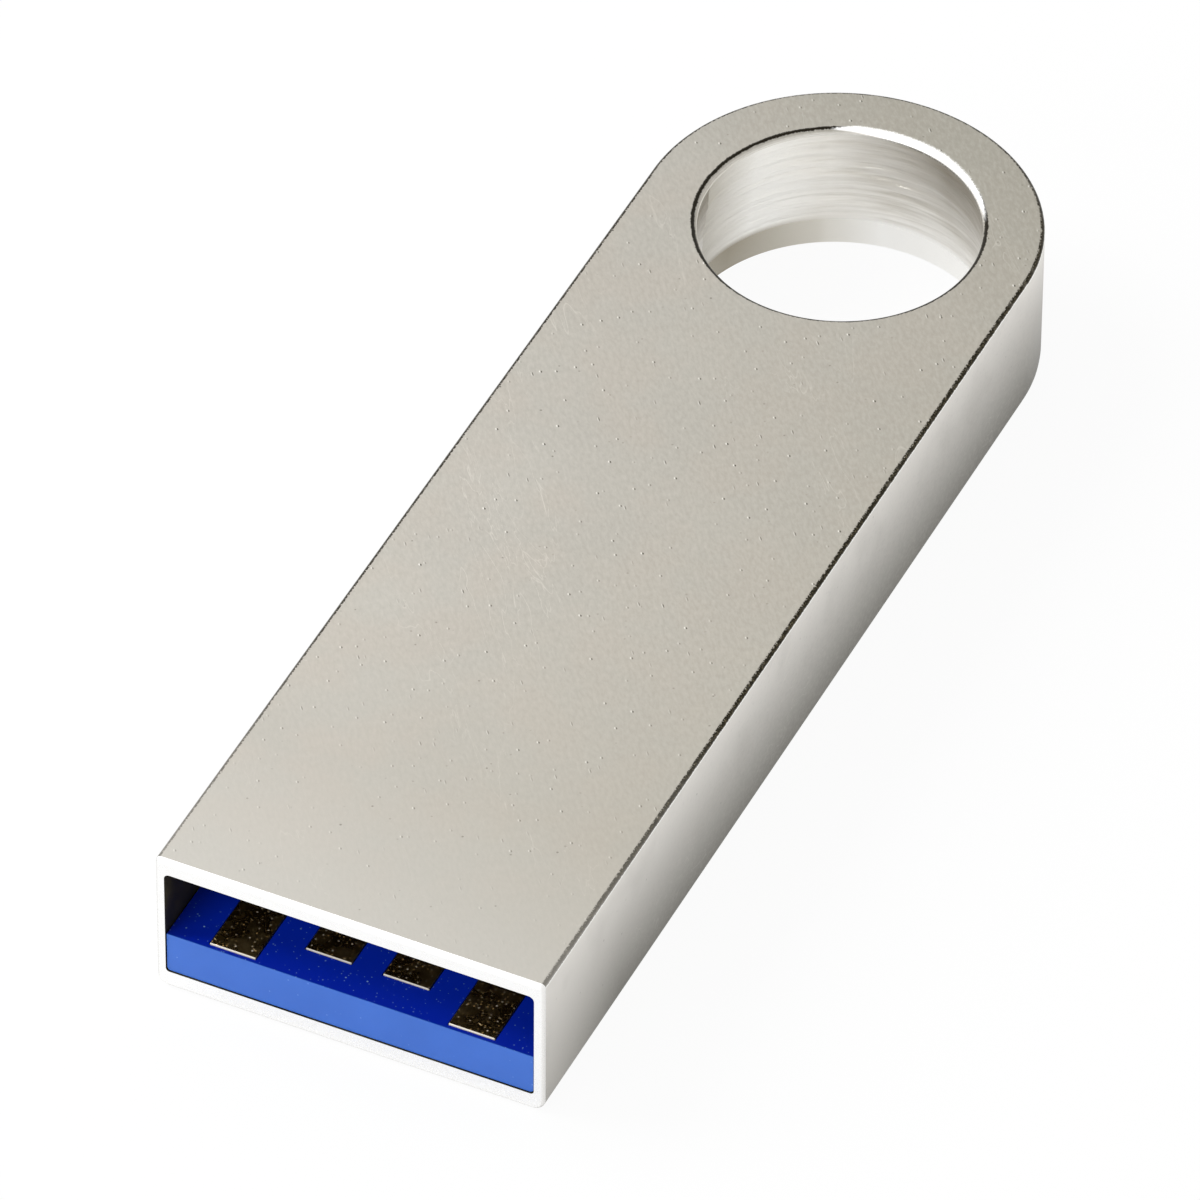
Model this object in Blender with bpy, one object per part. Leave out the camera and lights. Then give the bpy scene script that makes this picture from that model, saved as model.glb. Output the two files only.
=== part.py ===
"""A slim metal USB flash drive with a key ring hole, built piece by piece as it is put together.

Metres, +Z up. The origin is under the middle of the case, on the surface that the drive lies on.
The plug's mouth faces -Y, the key ring hole is at +Y, and X runs across the drive.
"""

import math

import bmesh
import bpy

MM = 0.001

# The case: one casting, plug shell and key ring in one.
CASE_LENGTH = 39.3 * MM
CASE_WIDTH = 12.2 * MM
CASE_THICKNESS = 4.9 * MM
FLOOR_WALL = 0.6 * MM
ROOF_WALL = 0.5 * MM
SIDE_WALL = 0.3 * MM
TOP_EDGE_ROUND = 0.15 * MM
BOTTOM_EDGE_ROUND = 0.35 * MM
MOUTH_EDGE_ROUND = 0.25 * MM
CAVITY_TOP_ROUND = 0.18 * MM
CAVITY_FLOOR_ROUND = 0.12 * MM

# The key ring hole, wider towards the underside, with a flared foot.
RING_BORE_RADIUS = 4.25 * MM
RING_BORE_DRAFT = math.radians(4.9)
RING_EDGE_ROUND = 0.18 * MM
RING_FLARE_HEIGHT = 1.2 * MM
RING_FLARE_STEP = 0.25 * MM
RING_WEB = 1.2 * MM

# The plug's blue contact carrier and the block behind its mouth.
FIT = 0.03 * MM
CARRIER_RECESS = 0.04 * MM
CARRIER_LENGTH = 12.2 * MM
CARRIER_THICKNESS = 1.4 * MM
BLOCK_RECESS = 10.0 * MM

# The four flat USB 2.0 contacts: a wide pad in front, a narrow stem behind.
PAD_WIDTH = 1.45 * MM
INNER_PAD_OFFSET = 1.22 * MM
OUTER_PAD_OFFSET = 3.76 * MM
INNER_PAD_RECESS = 1.2 * MM
OUTER_PAD_RECESS = 0.2 * MM
PAD_END_RECESS = 6.4 * MM
PAD_PROUD = 0.04 * MM
CONTACT_THICKNESS = 0.2 * MM
STEM_WIDTH = 0.5 * MM
SOLDER_LENGTH = 1.6 * MM

# The five SuperSpeed contacts: a sprung finger in front, a fixed tail behind.
SPRING_PITCH = 2.0 * MM
SPRING_COUNT = 5
SPRING_WIDTH = 0.5 * MM
SPRING_THICKNESS = 0.15 * MM
SPRING_LENGTH = 2.8 * MM
SPRING_ROOT_RECESS = 10.2 * MM
SPRING_RISE = 0.38 * MM
SPRING_APEX_ROUND = 0.5 * MM
SPRING_SPLIT_GAP = 0.05 * MM
SPRING_HEEL = 0.1 * MM
SPRING_SLOT_DEPTH = 0.36 * MM
SPRING_SLOT_MARGIN = 0.12 * MM
TAIL_LIFT = 0.09 * MM

# The circuit board and what is soldered to it.
BOARD_THICKNESS = 0.6 * MM
BOARD_SIDE_GAP = 0.12 * MM
BOARD_FRONT_GAP = 0.1 * MM
SOLDER_GAP = 0.04 * MM
EDGE_KEEP_OUT = 0.5 * MM
HOLDER_LENGTH = 1.5 * MM
HOLDER_GRIP = 0.8 * MM
PART_GAP = 0.5 * MM
FLASH_WIDTH = 9.6 * MM
FLASH_THICKNESS = 1.0 * MM
FLASH_PAD_MARGIN = 1.2 * MM
CONTROLLER_SIZE = 5.0 * MM
CONTROLLER_THICKNESS = 0.55 * MM
CRYSTAL_LENGTH = 2.5 * MM
CRYSTAL_WIDTH = 2.0 * MM
CRYSTAL_THICKNESS = 0.55 * MM
INDUCTOR_LENGTH = 2.0 * MM
INDUCTOR_WIDTH = 1.6 * MM
INDUCTOR_THICKNESS = 0.5 * MM
CHIP_PART_LENGTH = 1.0 * MM
CHIP_PART_WIDTH = 0.5 * MM
CAPACITOR_THICKNESS = 0.5 * MM
RESISTOR_THICKNESS = 0.35 * MM
CHIP_PART_PITCH = 1.5 * MM
TERMINAL_LENGTH = 0.25 * MM
TERMINAL_SWELL = 0.02 * MM

# Mesh fineness.
ARC_STEPS = 48
BORE_STEPS = 80
ROUND_STEPS = 4
SHARP_ANGLE = math.radians(32.0)
CUT_OVERRUN = 1.0 * MM
SMALLEST_ROUND = 0.01 * MM

# Levels and stations that follow from the sizes above.
MOUTH_Y = -CASE_LENGTH / 2
RING_Y = CASE_LENGTH / 2 - CASE_WIDTH / 2
CAVITY_HALF_WIDTH = CASE_WIDTH / 2 - SIDE_WALL
CAVITY_CEILING = CASE_THICKNESS - ROOF_WALL
BORE_FOOT_RADIUS = RING_BORE_RADIUS + (CASE_THICKNESS - RING_FLARE_HEIGHT) * math.tan(RING_BORE_DRAFT)
FLARE_RADIUS = BORE_FOOT_RADIUS + RING_FLARE_STEP
CAVITY_END_Y = RING_Y - FLARE_RADIUS - RING_WEB

CARRIER_HALF_WIDTH = CAVITY_HALF_WIDTH - FIT
CARRIER_BOTTOM = FLOOR_WALL + FIT
CARRIER_TOP = CARRIER_BOTTOM + CARRIER_THICKNESS
CARRIER_END_Y = MOUTH_Y + CARRIER_LENGTH
TAIL_BOTTOM = CARRIER_TOP + TAIL_LIFT
TAIL_TOP = TAIL_BOTTOM + SPRING_THICKNESS
TAIL_CENTRE = (TAIL_BOTTOM + TAIL_TOP) / 2

BOARD_TOP = TAIL_BOTTOM - SOLDER_GAP
BOARD_BOTTOM = BOARD_TOP - BOARD_THICKNESS
BOARD_HALF_WIDTH = CAVITY_HALF_WIDTH - BOARD_SIDE_GAP
BOARD_FRONT_Y = CARRIER_END_Y + BOARD_FRONT_GAP
HOLDER_END_Y = CAVITY_END_Y - FIT
HOLDER_FRONT_Y = HOLDER_END_Y - HOLDER_LENGTH
BOARD_END_Y = HOLDER_FRONT_Y + HOLDER_GRIP
SOLDER_END_Y = BOARD_FRONT_Y + SOLDER_LENGTH

STEM_TOP = BOARD_BOTTOM - SOLDER_GAP
STEM_CENTRE = STEM_TOP - CONTACT_THICKNESS / 2
PAD_CENTRE = CARRIER_TOP + PAD_PROUD - CONTACT_THICKNESS / 2
PAD_END_Y = MOUTH_Y + PAD_END_RECESS
SPRING_ROOT_Y = MOUTH_Y + SPRING_ROOT_RECESS
SPRING_TIP_Y = SPRING_ROOT_Y - SPRING_LENGTH
TAIL_FRONT_Y = SPRING_ROOT_Y + SPRING_HEEL + SPRING_SPLIT_GAP
BLOCK_BOTTOM = CARRIER_TOP + FIT
PART_TOP_SEAT = BOARD_TOP + SOLDER_GAP
PART_UNDER_SEAT = BOARD_BOTTOM - SOLDER_GAP


def clear_scene():
    for item in list(bpy.data.objects):
        bpy.data.objects.remove(item)


def make_material(name, colour, roughness, metallic):
    material = bpy.data.materials.new(name)
    material.use_nodes = True
    shader = material.node_tree.nodes["Principled BSDF"]
    shader.inputs["Base Color"].default_value = (*colour, 1.0)
    shader.inputs["Roughness"].default_value = roughness
    shader.inputs["Metallic"].default_value = metallic
    return material


def make_object(name, mesh_data, material, smooth=False):
    """Turn a bmesh into a named object with one material, its faces pointing out."""
    bmesh.ops.recalc_face_normals(mesh_data, faces=mesh_data.faces)
    mesh = bpy.data.meshes.new(name)
    mesh_data.to_mesh(mesh)
    mesh_data.free()
    if smooth:
        mesh.shade_smooth()
        mesh.set_sharp_from_angle(angle=SHARP_ANGLE)
    made = bpy.data.objects.new(name, mesh)
    made.data.materials.append(material)
    bpy.context.scene.collection.objects.link(made)
    return made


def loft(rings):
    """One closed body through rings of equally many points, with a flat cap on each end ring."""
    body = bmesh.new()
    loops = [[body.verts.new(point) for point in ring] for ring in rings]
    for near, far in zip(loops, loops[1:]):
        for index in range(len(near)):
            after = (index + 1) % len(near)
            body.faces.new((near[index], near[after], far[after], far[index]))
    body.faces.new(loops[0])
    body.faces.new(loops[-1])
    return body


def quarter(steps):
    """Angles over a quarter turn, ends included."""
    return [math.pi / 2 * step / steps for step in range(steps + 1)]


def section(half_width, low, high, low_round, high_round):
    """The outline in X and Z of a bar with rounded lower and upper corners, counter-clockwise."""
    low_round = max(low_round, SMALLEST_ROUND)
    high_round = max(high_round, SMALLEST_ROUND)
    corners = (
        (half_width - low_round, low + low_round, low_round, -math.pi / 2),
        (half_width - high_round, high - high_round, high_round, 0.0),
        (-half_width + high_round, high - high_round, high_round, math.pi / 2),
        (-half_width + low_round, low + low_round, low_round, math.pi),
    )
    outline = []
    for centre_x, centre_z, radius, start in corners:
        for turn in quarter(ROUND_STEPS):
            angle = start + turn
            outline.append((centre_x + radius * math.cos(angle), centre_z + radius * math.sin(angle)))
    return outline


def bar(name, outline, front, back, material):
    """A bar along Y with the given X and Z outline."""
    rings = [[(x, y, z) for x, z in outline] for y in (front, back)]
    return make_object(name, loft(rings), material)


def block(name, low, high, material):
    """A plain block between two corners, as a bar with square edges."""
    outline = ((high[0], low[2]), (high[0], high[2]), (low[0], high[2]), (low[0], low[2]))
    return bar(name, outline, low[1], high[1], material)


def cut(target, cutter):
    """Cut one object with another, which stays as a hidden guide."""
    cutter.hide_render = True
    cutter.display_type = "WIRE"
    boolean = target.modifiers.new("Cut " + cutter.name, "BOOLEAN")
    boolean.operation = "DIFFERENCE"
    boolean.solver = "EXACT"
    boolean.object = cutter


def break_edges(made, width):
    """A small bevel on a moulded or packaged piece's sharp edges."""
    bevel = made.modifiers.new("Edge break", "BEVEL")
    bevel.width = width
    bevel.segments = 1
    bevel.limit_method = "ANGLE"
    bevel.angle_limit = math.radians(60.0)


def heading(start, end):
    """The unit direction from one point of a path to the next."""
    run, rise = end[0] - start[0], end[1] - start[1]
    length = math.hypot(run, rise)
    return run / length, rise / length


def ribbon(path, half_widths, thickness, centre_x):
    """A strip of sheet metal along a path in Y and Z, mitred at its bends, with a width at each point."""
    rings = []
    for index, (y, z) in enumerate(path):
        arriving = heading(path[max(index - 1, 0)], path[max(index, 1)])
        leaving = heading(path[min(index, len(path) - 2)], path[min(index + 1, len(path) - 1)])
        run, rise = heading((0.0, 0.0), (arriving[0] + leaving[0], arriving[1] + leaving[1]))
        reach = thickness / 2 / (run * leaving[0] + rise * leaving[1])
        half = half_widths[index]
        above = (y - rise * reach, z + run * reach)
        below = (y + rise * reach, z - run * reach)
        rings.append(
            [
                (centre_x - half, *below),
                (centre_x + half, *below),
                (centre_x + half, *above),
                (centre_x - half, *above),
            ]
        )
    return loft(rings)


def case_half_section(inset):
    """The right half of the case's section in X and Z, from the top face down, drawn in by an inset."""
    outline = section(
        CASE_WIDTH / 2 - inset,
        inset,
        CASE_THICKNESS - inset,
        BOTTOM_EDGE_ROUND - inset,
        TOP_EDGE_ROUND - inset,
    )
    return outline[len(outline) // 2 - 1 :: -1]


def case_skin():
    """The outside of the case: rounded at the mouth, straight along the sides and round about the ring."""
    body = bmesh.new()
    mouth_rings = []
    for turn in quarter(ROUND_STEPS):
        inset = MOUTH_EDGE_ROUND * (1 - math.sin(turn))
        y = MOUTH_Y + MOUTH_EDGE_ROUND * (1 - math.cos(turn))
        right = [(x, y, z) for x, z in case_half_section(inset)]
        left = [(-x, y, z) for x, y, z in reversed(right)]
        mouth_rings.append([body.verts.new(point) for point in right + left])
    for near, far in zip(mouth_rings, mouth_rings[1:]):
        for index in range(len(near)):
            after = (index + 1) % len(near)
            body.faces.new((near[index], near[after], far[after], far[index]))
    body.faces.new(mouth_rings[0])

    profile = case_half_section(0.0)
    count = len(profile)
    columns = [mouth_rings[-1][:count]]
    for step in range(ARC_STEPS + 1):
        angle = math.pi * step / ARC_STEPS
        places = [(x * math.cos(angle), RING_Y + x * math.sin(angle), z) for x, z in profile]
        columns.append([body.verts.new(place) for place in places])
    columns.append(list(reversed(mouth_rings[-1][count:])))
    for near, far in zip(columns, columns[1:]):
        for index in range(count - 1):
            body.faces.new((near[index], near[index + 1], far[index + 1], far[index]))
    body.faces.new([column[0] for column in columns])
    body.faces.new([column[-1] for column in columns])
    return body


def make_case(material):
    case = make_object("housing", case_skin(), material, smooth=True)

    cavity = bar(
        "cavity_cutter",
        section(CAVITY_HALF_WIDTH, FLOOR_WALL, CAVITY_CEILING, CAVITY_FLOOR_ROUND, CAVITY_TOP_ROUND),
        MOUTH_Y - CUT_OVERRUN,
        CAVITY_END_Y,
        material,
    )
    cut(case, cavity)

    levels = [(RING_BORE_RADIUS + RING_EDGE_ROUND, CASE_THICKNESS + CUT_OVERRUN)]
    for turn in quarter(ROUND_STEPS):
        levels.append(
            (
                RING_BORE_RADIUS + RING_EDGE_ROUND * (1 - math.sin(turn)),
                CASE_THICKNESS - RING_EDGE_ROUND * (1 - math.cos(turn)),
            )
        )
    levels.append((BORE_FOOT_RADIUS, RING_FLARE_HEIGHT))
    levels.append((FLARE_RADIUS, 0.0))
    levels.append((FLARE_RADIUS, -CUT_OVERRUN))
    rings = []
    for radius, z in levels:
        turns = [2 * math.pi * step / BORE_STEPS for step in range(BORE_STEPS)]
        rings.append([(radius * math.cos(t), RING_Y + radius * math.sin(t), z) for t in turns])
    bore = make_object("bore_cutter", loft(rings), material)
    cut(case, bore)
    return case


def pad_places():
    """Each USB 2.0 contact's name, its place across the plug and how far back its pad starts."""
    return (
        ("ground_contact", -OUTER_PAD_OFFSET, OUTER_PAD_RECESS),
        ("data_plus_contact", -INNER_PAD_OFFSET, INNER_PAD_RECESS),
        ("data_minus_contact", INNER_PAD_OFFSET, INNER_PAD_RECESS),
        ("power_contact", OUTER_PAD_OFFSET, OUTER_PAD_RECESS),
    )


def spring_places():
    """The SuperSpeed contacts' places across the plug, from -X to +X."""
    middle = (SPRING_COUNT - 1) / 2
    return [(index - middle) * SPRING_PITCH for index in range(SPRING_COUNT)]


def make_carrier(material):
    """The blue tongue, with a pocket for each flat contact and a slot under each spring."""
    carrier = bar(
        "contact_carrier",
        section(CARRIER_HALF_WIDTH, CARRIER_BOTTOM, CARRIER_TOP, CAVITY_FLOOR_ROUND, SMALLEST_ROUND),
        MOUTH_Y + CARRIER_RECESS,
        CARRIER_END_Y,
        material,
    )
    pocket_floor = PAD_CENTRE - CONTACT_THICKNESS / 2 - FIT
    well_floor = STEM_CENTRE - CONTACT_THICKNESS / 2 - FIT
    for name, centre, recess in pad_places():
        half_pad = PAD_WIDTH / 2 + FIT
        half_stem = STEM_WIDTH / 2 + FIT
        pocket = block(
            name + "_pocket_cutter",
            (centre - half_pad, MOUTH_Y + recess - FIT, pocket_floor),
            (centre + half_pad, PAD_END_Y + FIT, CARRIER_TOP + CUT_OVERRUN),
            material,
        )
        cut(carrier, pocket)
        well = block(
            name + "_well_cutter",
            (centre - half_stem, PAD_END_Y - CONTACT_THICKNESS - FIT, well_floor),
            (centre + half_stem, PAD_END_Y + FIT, pocket_floor + FIT),
            material,
        )
        cut(carrier, well)
        tunnel = block(
            name + "_tunnel_cutter",
            (centre - half_stem, PAD_END_Y, well_floor),
            (centre + half_stem, CARRIER_END_Y + CUT_OVERRUN, STEM_TOP + FIT),
            material,
        )
        cut(carrier, tunnel)
    half_slot = SPRING_WIDTH / 2 + SPRING_SLOT_MARGIN
    for index, centre in enumerate(spring_places()):
        slot = block(
            f"spring_slot_{index + 1}_cutter",
            (centre - half_slot, SPRING_TIP_Y - SPRING_SLOT_MARGIN, CARRIER_TOP - SPRING_SLOT_DEPTH),
            (centre + half_slot, TAIL_FRONT_Y, CARRIER_TOP + CUT_OVERRUN),
            material,
        )
        cut(carrier, slot)
    return carrier


def make_block(material):
    """The block that closes the back of the mouth and holds the spring contacts' tails down."""
    keeper = bar(
        "spring_contact_block",
        section(CARRIER_HALF_WIDTH, BLOCK_BOTTOM, CAVITY_CEILING - FIT, SMALLEST_ROUND, CAVITY_TOP_ROUND),
        MOUTH_Y + BLOCK_RECESS,
        CARRIER_END_Y,
        material,
    )
    half_slot = SPRING_WIDTH / 2 + FIT
    for index, centre in enumerate(spring_places()):
        groove = block(
            f"tail_groove_{index + 1}_cutter",
            (centre - half_slot, MOUTH_Y + BLOCK_RECESS - CUT_OVERRUN, BLOCK_BOTTOM - CUT_OVERRUN),
            (centre + half_slot, CARRIER_END_Y + CUT_OVERRUN, TAIL_TOP + FIT),
            material,
        )
        cut(keeper, groove)
    return keeper


def make_flat_contact(name, centre, recess, material):
    """A gold plated pad that steps down through the carrier and runs back under the board."""
    front = MOUTH_Y + recess
    step_y = PAD_END_Y - CONTACT_THICKNESS / 2
    half_pad = PAD_WIDTH / 2
    half_stem = STEM_WIDTH / 2
    taper = (PAD_WIDTH - STEM_WIDTH) / 2
    path = (
        (front, PAD_CENTRE),
        (step_y - taper, PAD_CENTRE),
        (step_y - CONTACT_THICKNESS, PAD_CENTRE),
        (step_y, PAD_CENTRE),
        (step_y, STEM_CENTRE),
        (SOLDER_END_Y, STEM_CENTRE),
    )
    half_widths = (half_pad, half_pad, half_stem, half_stem, half_stem, half_stem)
    return make_object(name, ribbon(path, half_widths, CONTACT_THICKNESS, centre), material)


def finger_path():
    """A spring finger's middle line from tip to heel: up over a rounded apex, then a long slope."""
    apex_z = CARRIER_TOP + SPRING_RISE - SPRING_THICKNESS / 2
    apex_y = SPRING_TIP_Y + SPRING_APEX_ROUND
    tip_z = CARRIER_TOP + SPRING_THICKNESS / 2
    slope_end_y = SPRING_ROOT_Y - SPRING_HEEL
    path = [(SPRING_TIP_Y, tip_z)]
    run = SPRING_APEX_ROUND / 2
    for step in range(-2, 3):
        share = step / 2
        drop = (apex_z - tip_z) * 0.4 * share * share
        path.append((apex_y + run * share, apex_z - drop))
    path.append((slope_end_y, TAIL_CENTRE))
    path.append((SPRING_ROOT_Y + SPRING_HEEL, TAIL_CENTRE))
    return path


def make_spring(number, centre, material):
    """One SuperSpeed contact: the finger turns about its root, the tail is soldered to the board."""
    pivot = bpy.data.objects.new(f"spring_pivot_{number}", None)
    pivot.location = (centre, SPRING_ROOT_Y, TAIL_CENTRE)
    bpy.context.scene.collection.objects.link(pivot)
    path = [(y - SPRING_ROOT_Y, z - TAIL_CENTRE) for y, z in finger_path()]
    half_widths = [SPRING_WIDTH / 2] * len(path)
    half_widths[0] = SPRING_WIDTH / 3
    finger = make_object(
        f"superspeed_spring_{number}", ribbon(path, half_widths, SPRING_THICKNESS, 0.0), material
    )
    finger.parent = pivot
    block(
        f"superspeed_tail_{number}",
        (centre - SPRING_WIDTH / 2, TAIL_FRONT_Y, TAIL_BOTTOM),
        (centre + SPRING_WIDTH / 2, SOLDER_END_Y, TAIL_TOP),
        material,
    )


def make_board(material):
    return block(
        "circuit_board",
        (-BOARD_HALF_WIDTH, BOARD_FRONT_Y, BOARD_BOTTOM),
        (BOARD_HALF_WIDTH, BOARD_END_Y, BOARD_TOP),
        material,
    )


def make_holder(material):
    """The moulded end piece that grips the board's back edge against the end of the cavity."""
    holder = bar(
        "board_end_holder",
        section(
            CARRIER_HALF_WIDTH, CARRIER_BOTTOM, CAVITY_CEILING - FIT, CAVITY_FLOOR_ROUND, CAVITY_TOP_ROUND
        ),
        HOLDER_FRONT_Y,
        HOLDER_END_Y,
        material,
    )
    slot = block(
        "holder_slot_cutter",
        (-CASE_WIDTH, HOLDER_FRONT_Y - CUT_OVERRUN, BOARD_BOTTOM - FIT),
        (CASE_WIDTH, BOARD_END_Y + FIT, BOARD_TOP + FIT),
        material,
    )
    cut(holder, slot)


def make_package(name, centre, size, under, material):
    """A chip's package on the board's top, or hanging from its underside."""
    low_z = PART_UNDER_SEAT - size[2] if under else PART_TOP_SEAT
    package = block(
        name,
        (centre[0] - size[0] / 2, centre[1] - size[1] / 2, low_z),
        (centre[0] + size[0] / 2, centre[1] + size[1] / 2, low_z + size[2]),
        material,
    )
    break_edges(package, size[2] / 10)


def make_chip_part(name, centre, thickness, under, material):
    """A surface mounted capacitor or resistor: a body between two slightly thicker end caps."""
    low_z = PART_UNDER_SEAT - thickness if under else PART_TOP_SEAT
    high_z = low_z + thickness
    half_length = CHIP_PART_LENGTH / 2
    neck = half_length - TERMINAL_LENGTH
    rings = []
    for y, swell in (
        (-half_length, TERMINAL_SWELL),
        (-neck, TERMINAL_SWELL),
        (-neck + TERMINAL_SWELL, 0.0),
        (neck - TERMINAL_SWELL, 0.0),
        (neck, TERMINAL_SWELL),
        (half_length, TERMINAL_SWELL),
    ):
        half = CHIP_PART_WIDTH / 2 - TERMINAL_SWELL + swell
        low, high = low_z + TERMINAL_SWELL - swell, high_z - TERMINAL_SWELL + swell
        x = centre[0]
        place_y = centre[1] + y
        corners = ((x + half, low), (x + half, high), (x - half, high), (x - half, low))
        rings.append([(corner_x, place_y, z) for corner_x, z in corners])
    make_object(name, loft(rings), material)


def make_electronics(materials):
    """Everything soldered to the board, placed from its edges."""
    clear_front = SOLDER_END_Y + PART_GAP
    left = -BOARD_HALF_WIDTH + EDGE_KEEP_OUT
    right = BOARD_HALF_WIDTH - EDGE_KEEP_OUT
    back_row = HOLDER_FRONT_Y - PART_GAP - CHIP_PART_LENGTH / 2

    coupling_row = clear_front + CHIP_PART_LENGTH / 2
    for number, side in enumerate((-1, 1), start=1):
        place = (side * SPRING_PITCH, coupling_row)
        make_chip_part(
            f"coupling_capacitor_{number}", place, CAPACITOR_THICKNESS, False, materials["ceramic"]
        )

    flash_front = coupling_row + CHIP_PART_LENGTH / 2 + PART_GAP
    flash_end = HOLDER_FRONT_Y - PART_GAP
    flash_length = flash_end - flash_front
    flash_middle = (flash_front + flash_end) / 2
    flash_size = (FLASH_WIDTH, flash_length, FLASH_THICKNESS)
    make_package("flash_memory_chip", (0.0, flash_middle), flash_size, False, materials["package"])
    foam_bottom = PART_TOP_SEAT + FLASH_THICKNESS + FIT
    foam_half_width = FLASH_WIDTH / 2 - FLASH_PAD_MARGIN
    block(
        "foam_adhesive_pad",
        (-foam_half_width, flash_front + FLASH_PAD_MARGIN, foam_bottom),
        (foam_half_width, flash_end - FLASH_PAD_MARGIN, CAVITY_CEILING - FIT),
        materials["foam"],
    )

    controller_place = (left + CONTROLLER_SIZE / 2, clear_front + CONTROLLER_SIZE / 2)
    controller_size = (CONTROLLER_SIZE, CONTROLLER_SIZE, CONTROLLER_THICKNESS)
    make_package("controller_chip", controller_place, controller_size, True, materials["package"])
    crystal_place = (right - CRYSTAL_WIDTH / 2, clear_front + CRYSTAL_LENGTH / 2)
    crystal_size = (CRYSTAL_WIDTH, CRYSTAL_LENGTH, CRYSTAL_THICKNESS)
    make_package("clock_crystal", crystal_place, crystal_size, True, materials["can"])
    inductor_place = (
        right - INDUCTOR_WIDTH / 2,
        clear_front + CRYSTAL_LENGTH + PART_GAP + INDUCTOR_LENGTH / 2,
    )
    inductor_size = (INDUCTOR_WIDTH, INDUCTOR_LENGTH, INDUCTOR_THICKNESS)
    make_package("power_inductor", inductor_place, inductor_size, True, materials["ferrite"])

    for number in range(1, 5):
        place = (left + CHIP_PART_WIDTH / 2 + (number - 1) * CHIP_PART_PITCH, back_row)
        make_chip_part(
            f"decoupling_capacitor_{number}", place, CAPACITOR_THICKNESS, True, materials["ceramic"]
        )
    for number in range(1, 3):
        place = (right - CHIP_PART_WIDTH / 2 - (number - 1) * CHIP_PART_PITCH, back_row)
        make_chip_part(f"series_resistor_{number}", place, RESISTOR_THICKNESS, True, materials["resistor"])


def make_materials():
    return {
        "nickel": make_material("satin_nickel", (0.60, 0.58, 0.54), 0.34, 1.0),
        "blue": make_material("blue_plastic", (0.02, 0.10, 0.55), 0.40, 0.0),
        "gold": make_material("gold_plate", (0.72, 0.50, 0.20), 0.28, 1.0),
        "board": make_material("green_board", (0.02, 0.16, 0.07), 0.45, 0.0),
        "package": make_material("black_package", (0.02, 0.02, 0.022), 0.55, 0.0),
        "can": make_material("crystal_can", (0.62, 0.62, 0.60), 0.30, 1.0),
        "ferrite": make_material("grey_ferrite", (0.09, 0.09, 0.10), 0.60, 0.0),
        "ceramic": make_material("tan_ceramic", (0.46, 0.33, 0.22), 0.50, 0.0),
        "resistor": make_material("black_resistor", (0.03, 0.03, 0.035), 0.45, 0.0),
        "holder": make_material("black_plastic", (0.03, 0.03, 0.03), 0.50, 0.0),
        "foam": make_material("white_foam", (0.72, 0.72, 0.70), 0.90, 0.0),
    }


def main():
    clear_scene()
    materials = make_materials()
    make_case(materials["nickel"])
    make_carrier(materials["blue"])
    make_block(materials["blue"])
    for name, centre, recess in pad_places():
        make_flat_contact(name, centre, recess, materials["gold"])
    for index, centre in enumerate(spring_places()):
        make_spring(index + 1, centre, materials["gold"])
    make_board(materials["board"])
    make_holder(materials["holder"])
    make_electronics(materials)


main()
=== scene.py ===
"""The looks of a slim metal USB flash drive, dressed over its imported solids. Metres, +Z up.

The plug's mouth faces -Y, the key ring hole is at +Y, and the drive lies on the floor at z = 0.
"""

import math

import bpy
from mathutils import Matrix, Vector


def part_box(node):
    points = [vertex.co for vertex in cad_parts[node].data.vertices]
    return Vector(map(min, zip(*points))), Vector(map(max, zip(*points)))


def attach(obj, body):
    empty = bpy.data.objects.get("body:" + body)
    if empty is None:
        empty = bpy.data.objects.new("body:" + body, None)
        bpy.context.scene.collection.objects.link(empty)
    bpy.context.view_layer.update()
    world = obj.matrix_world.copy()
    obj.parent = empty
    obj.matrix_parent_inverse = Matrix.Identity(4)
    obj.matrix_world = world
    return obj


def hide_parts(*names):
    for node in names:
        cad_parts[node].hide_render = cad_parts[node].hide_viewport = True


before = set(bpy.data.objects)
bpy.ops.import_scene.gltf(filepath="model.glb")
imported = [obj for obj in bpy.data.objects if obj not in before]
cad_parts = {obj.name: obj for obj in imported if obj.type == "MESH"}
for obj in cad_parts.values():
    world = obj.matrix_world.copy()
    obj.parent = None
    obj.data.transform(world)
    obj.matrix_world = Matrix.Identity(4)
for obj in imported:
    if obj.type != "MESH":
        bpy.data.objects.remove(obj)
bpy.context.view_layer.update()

MM = 0.001


def corners(node):
    """The low and the high corner of a solid's box."""
    low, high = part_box(node)
    return Vector(low), Vector(high)


case_low, case_high = corners("housing")
tongue_low, tongue_high = corners("contact_carrier")
holder_low, holder_high = corners("board_end_holder")

# Clearances, walls and rounds of the solids, which the boxes above don't give.
FIT = 0.03 * MM
TOP_EDGE_ROUND = 0.15 * MM
BOTTOM_EDGE_ROUND = 0.35 * MM
MOUTH_EDGE_ROUND = 0.25 * MM
CAVITY_TOP_ROUND = 0.18 * MM
CAVITY_FLOOR_ROUND = 0.12 * MM
RING_BORE_RADIUS = 4.25 * MM
RING_BORE_DRAFT = math.radians(4.9)
RING_EDGE_ROUND = 0.18 * MM
RING_FLARE_HEIGHT = 1.2 * MM
RING_FLARE_STEP = 0.25 * MM
CONTACT_THICKNESS = 0.2 * MM
CONTACT_STEM_WIDTH = 0.5 * MM
PAD_END_RECESS = 6.4 * MM
SPRING_THICKNESS = 0.15 * MM
SPRING_APEX_REACH = 0.5 * MM
SPRING_HEEL = 0.2 * MM
SPRING_ROOT_LIFT = 0.09 * MM
SPRING_TIP_WIDTH = 0.8
SPRING_TIP_LENGTH = 0.02 * MM
SPRING_SLOT_MARGIN = 0.12 * MM
SPRING_SLOT_BACK = 0.05 * MM
SPRING_SLOT_DEPTH = 0.36 * MM

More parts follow.
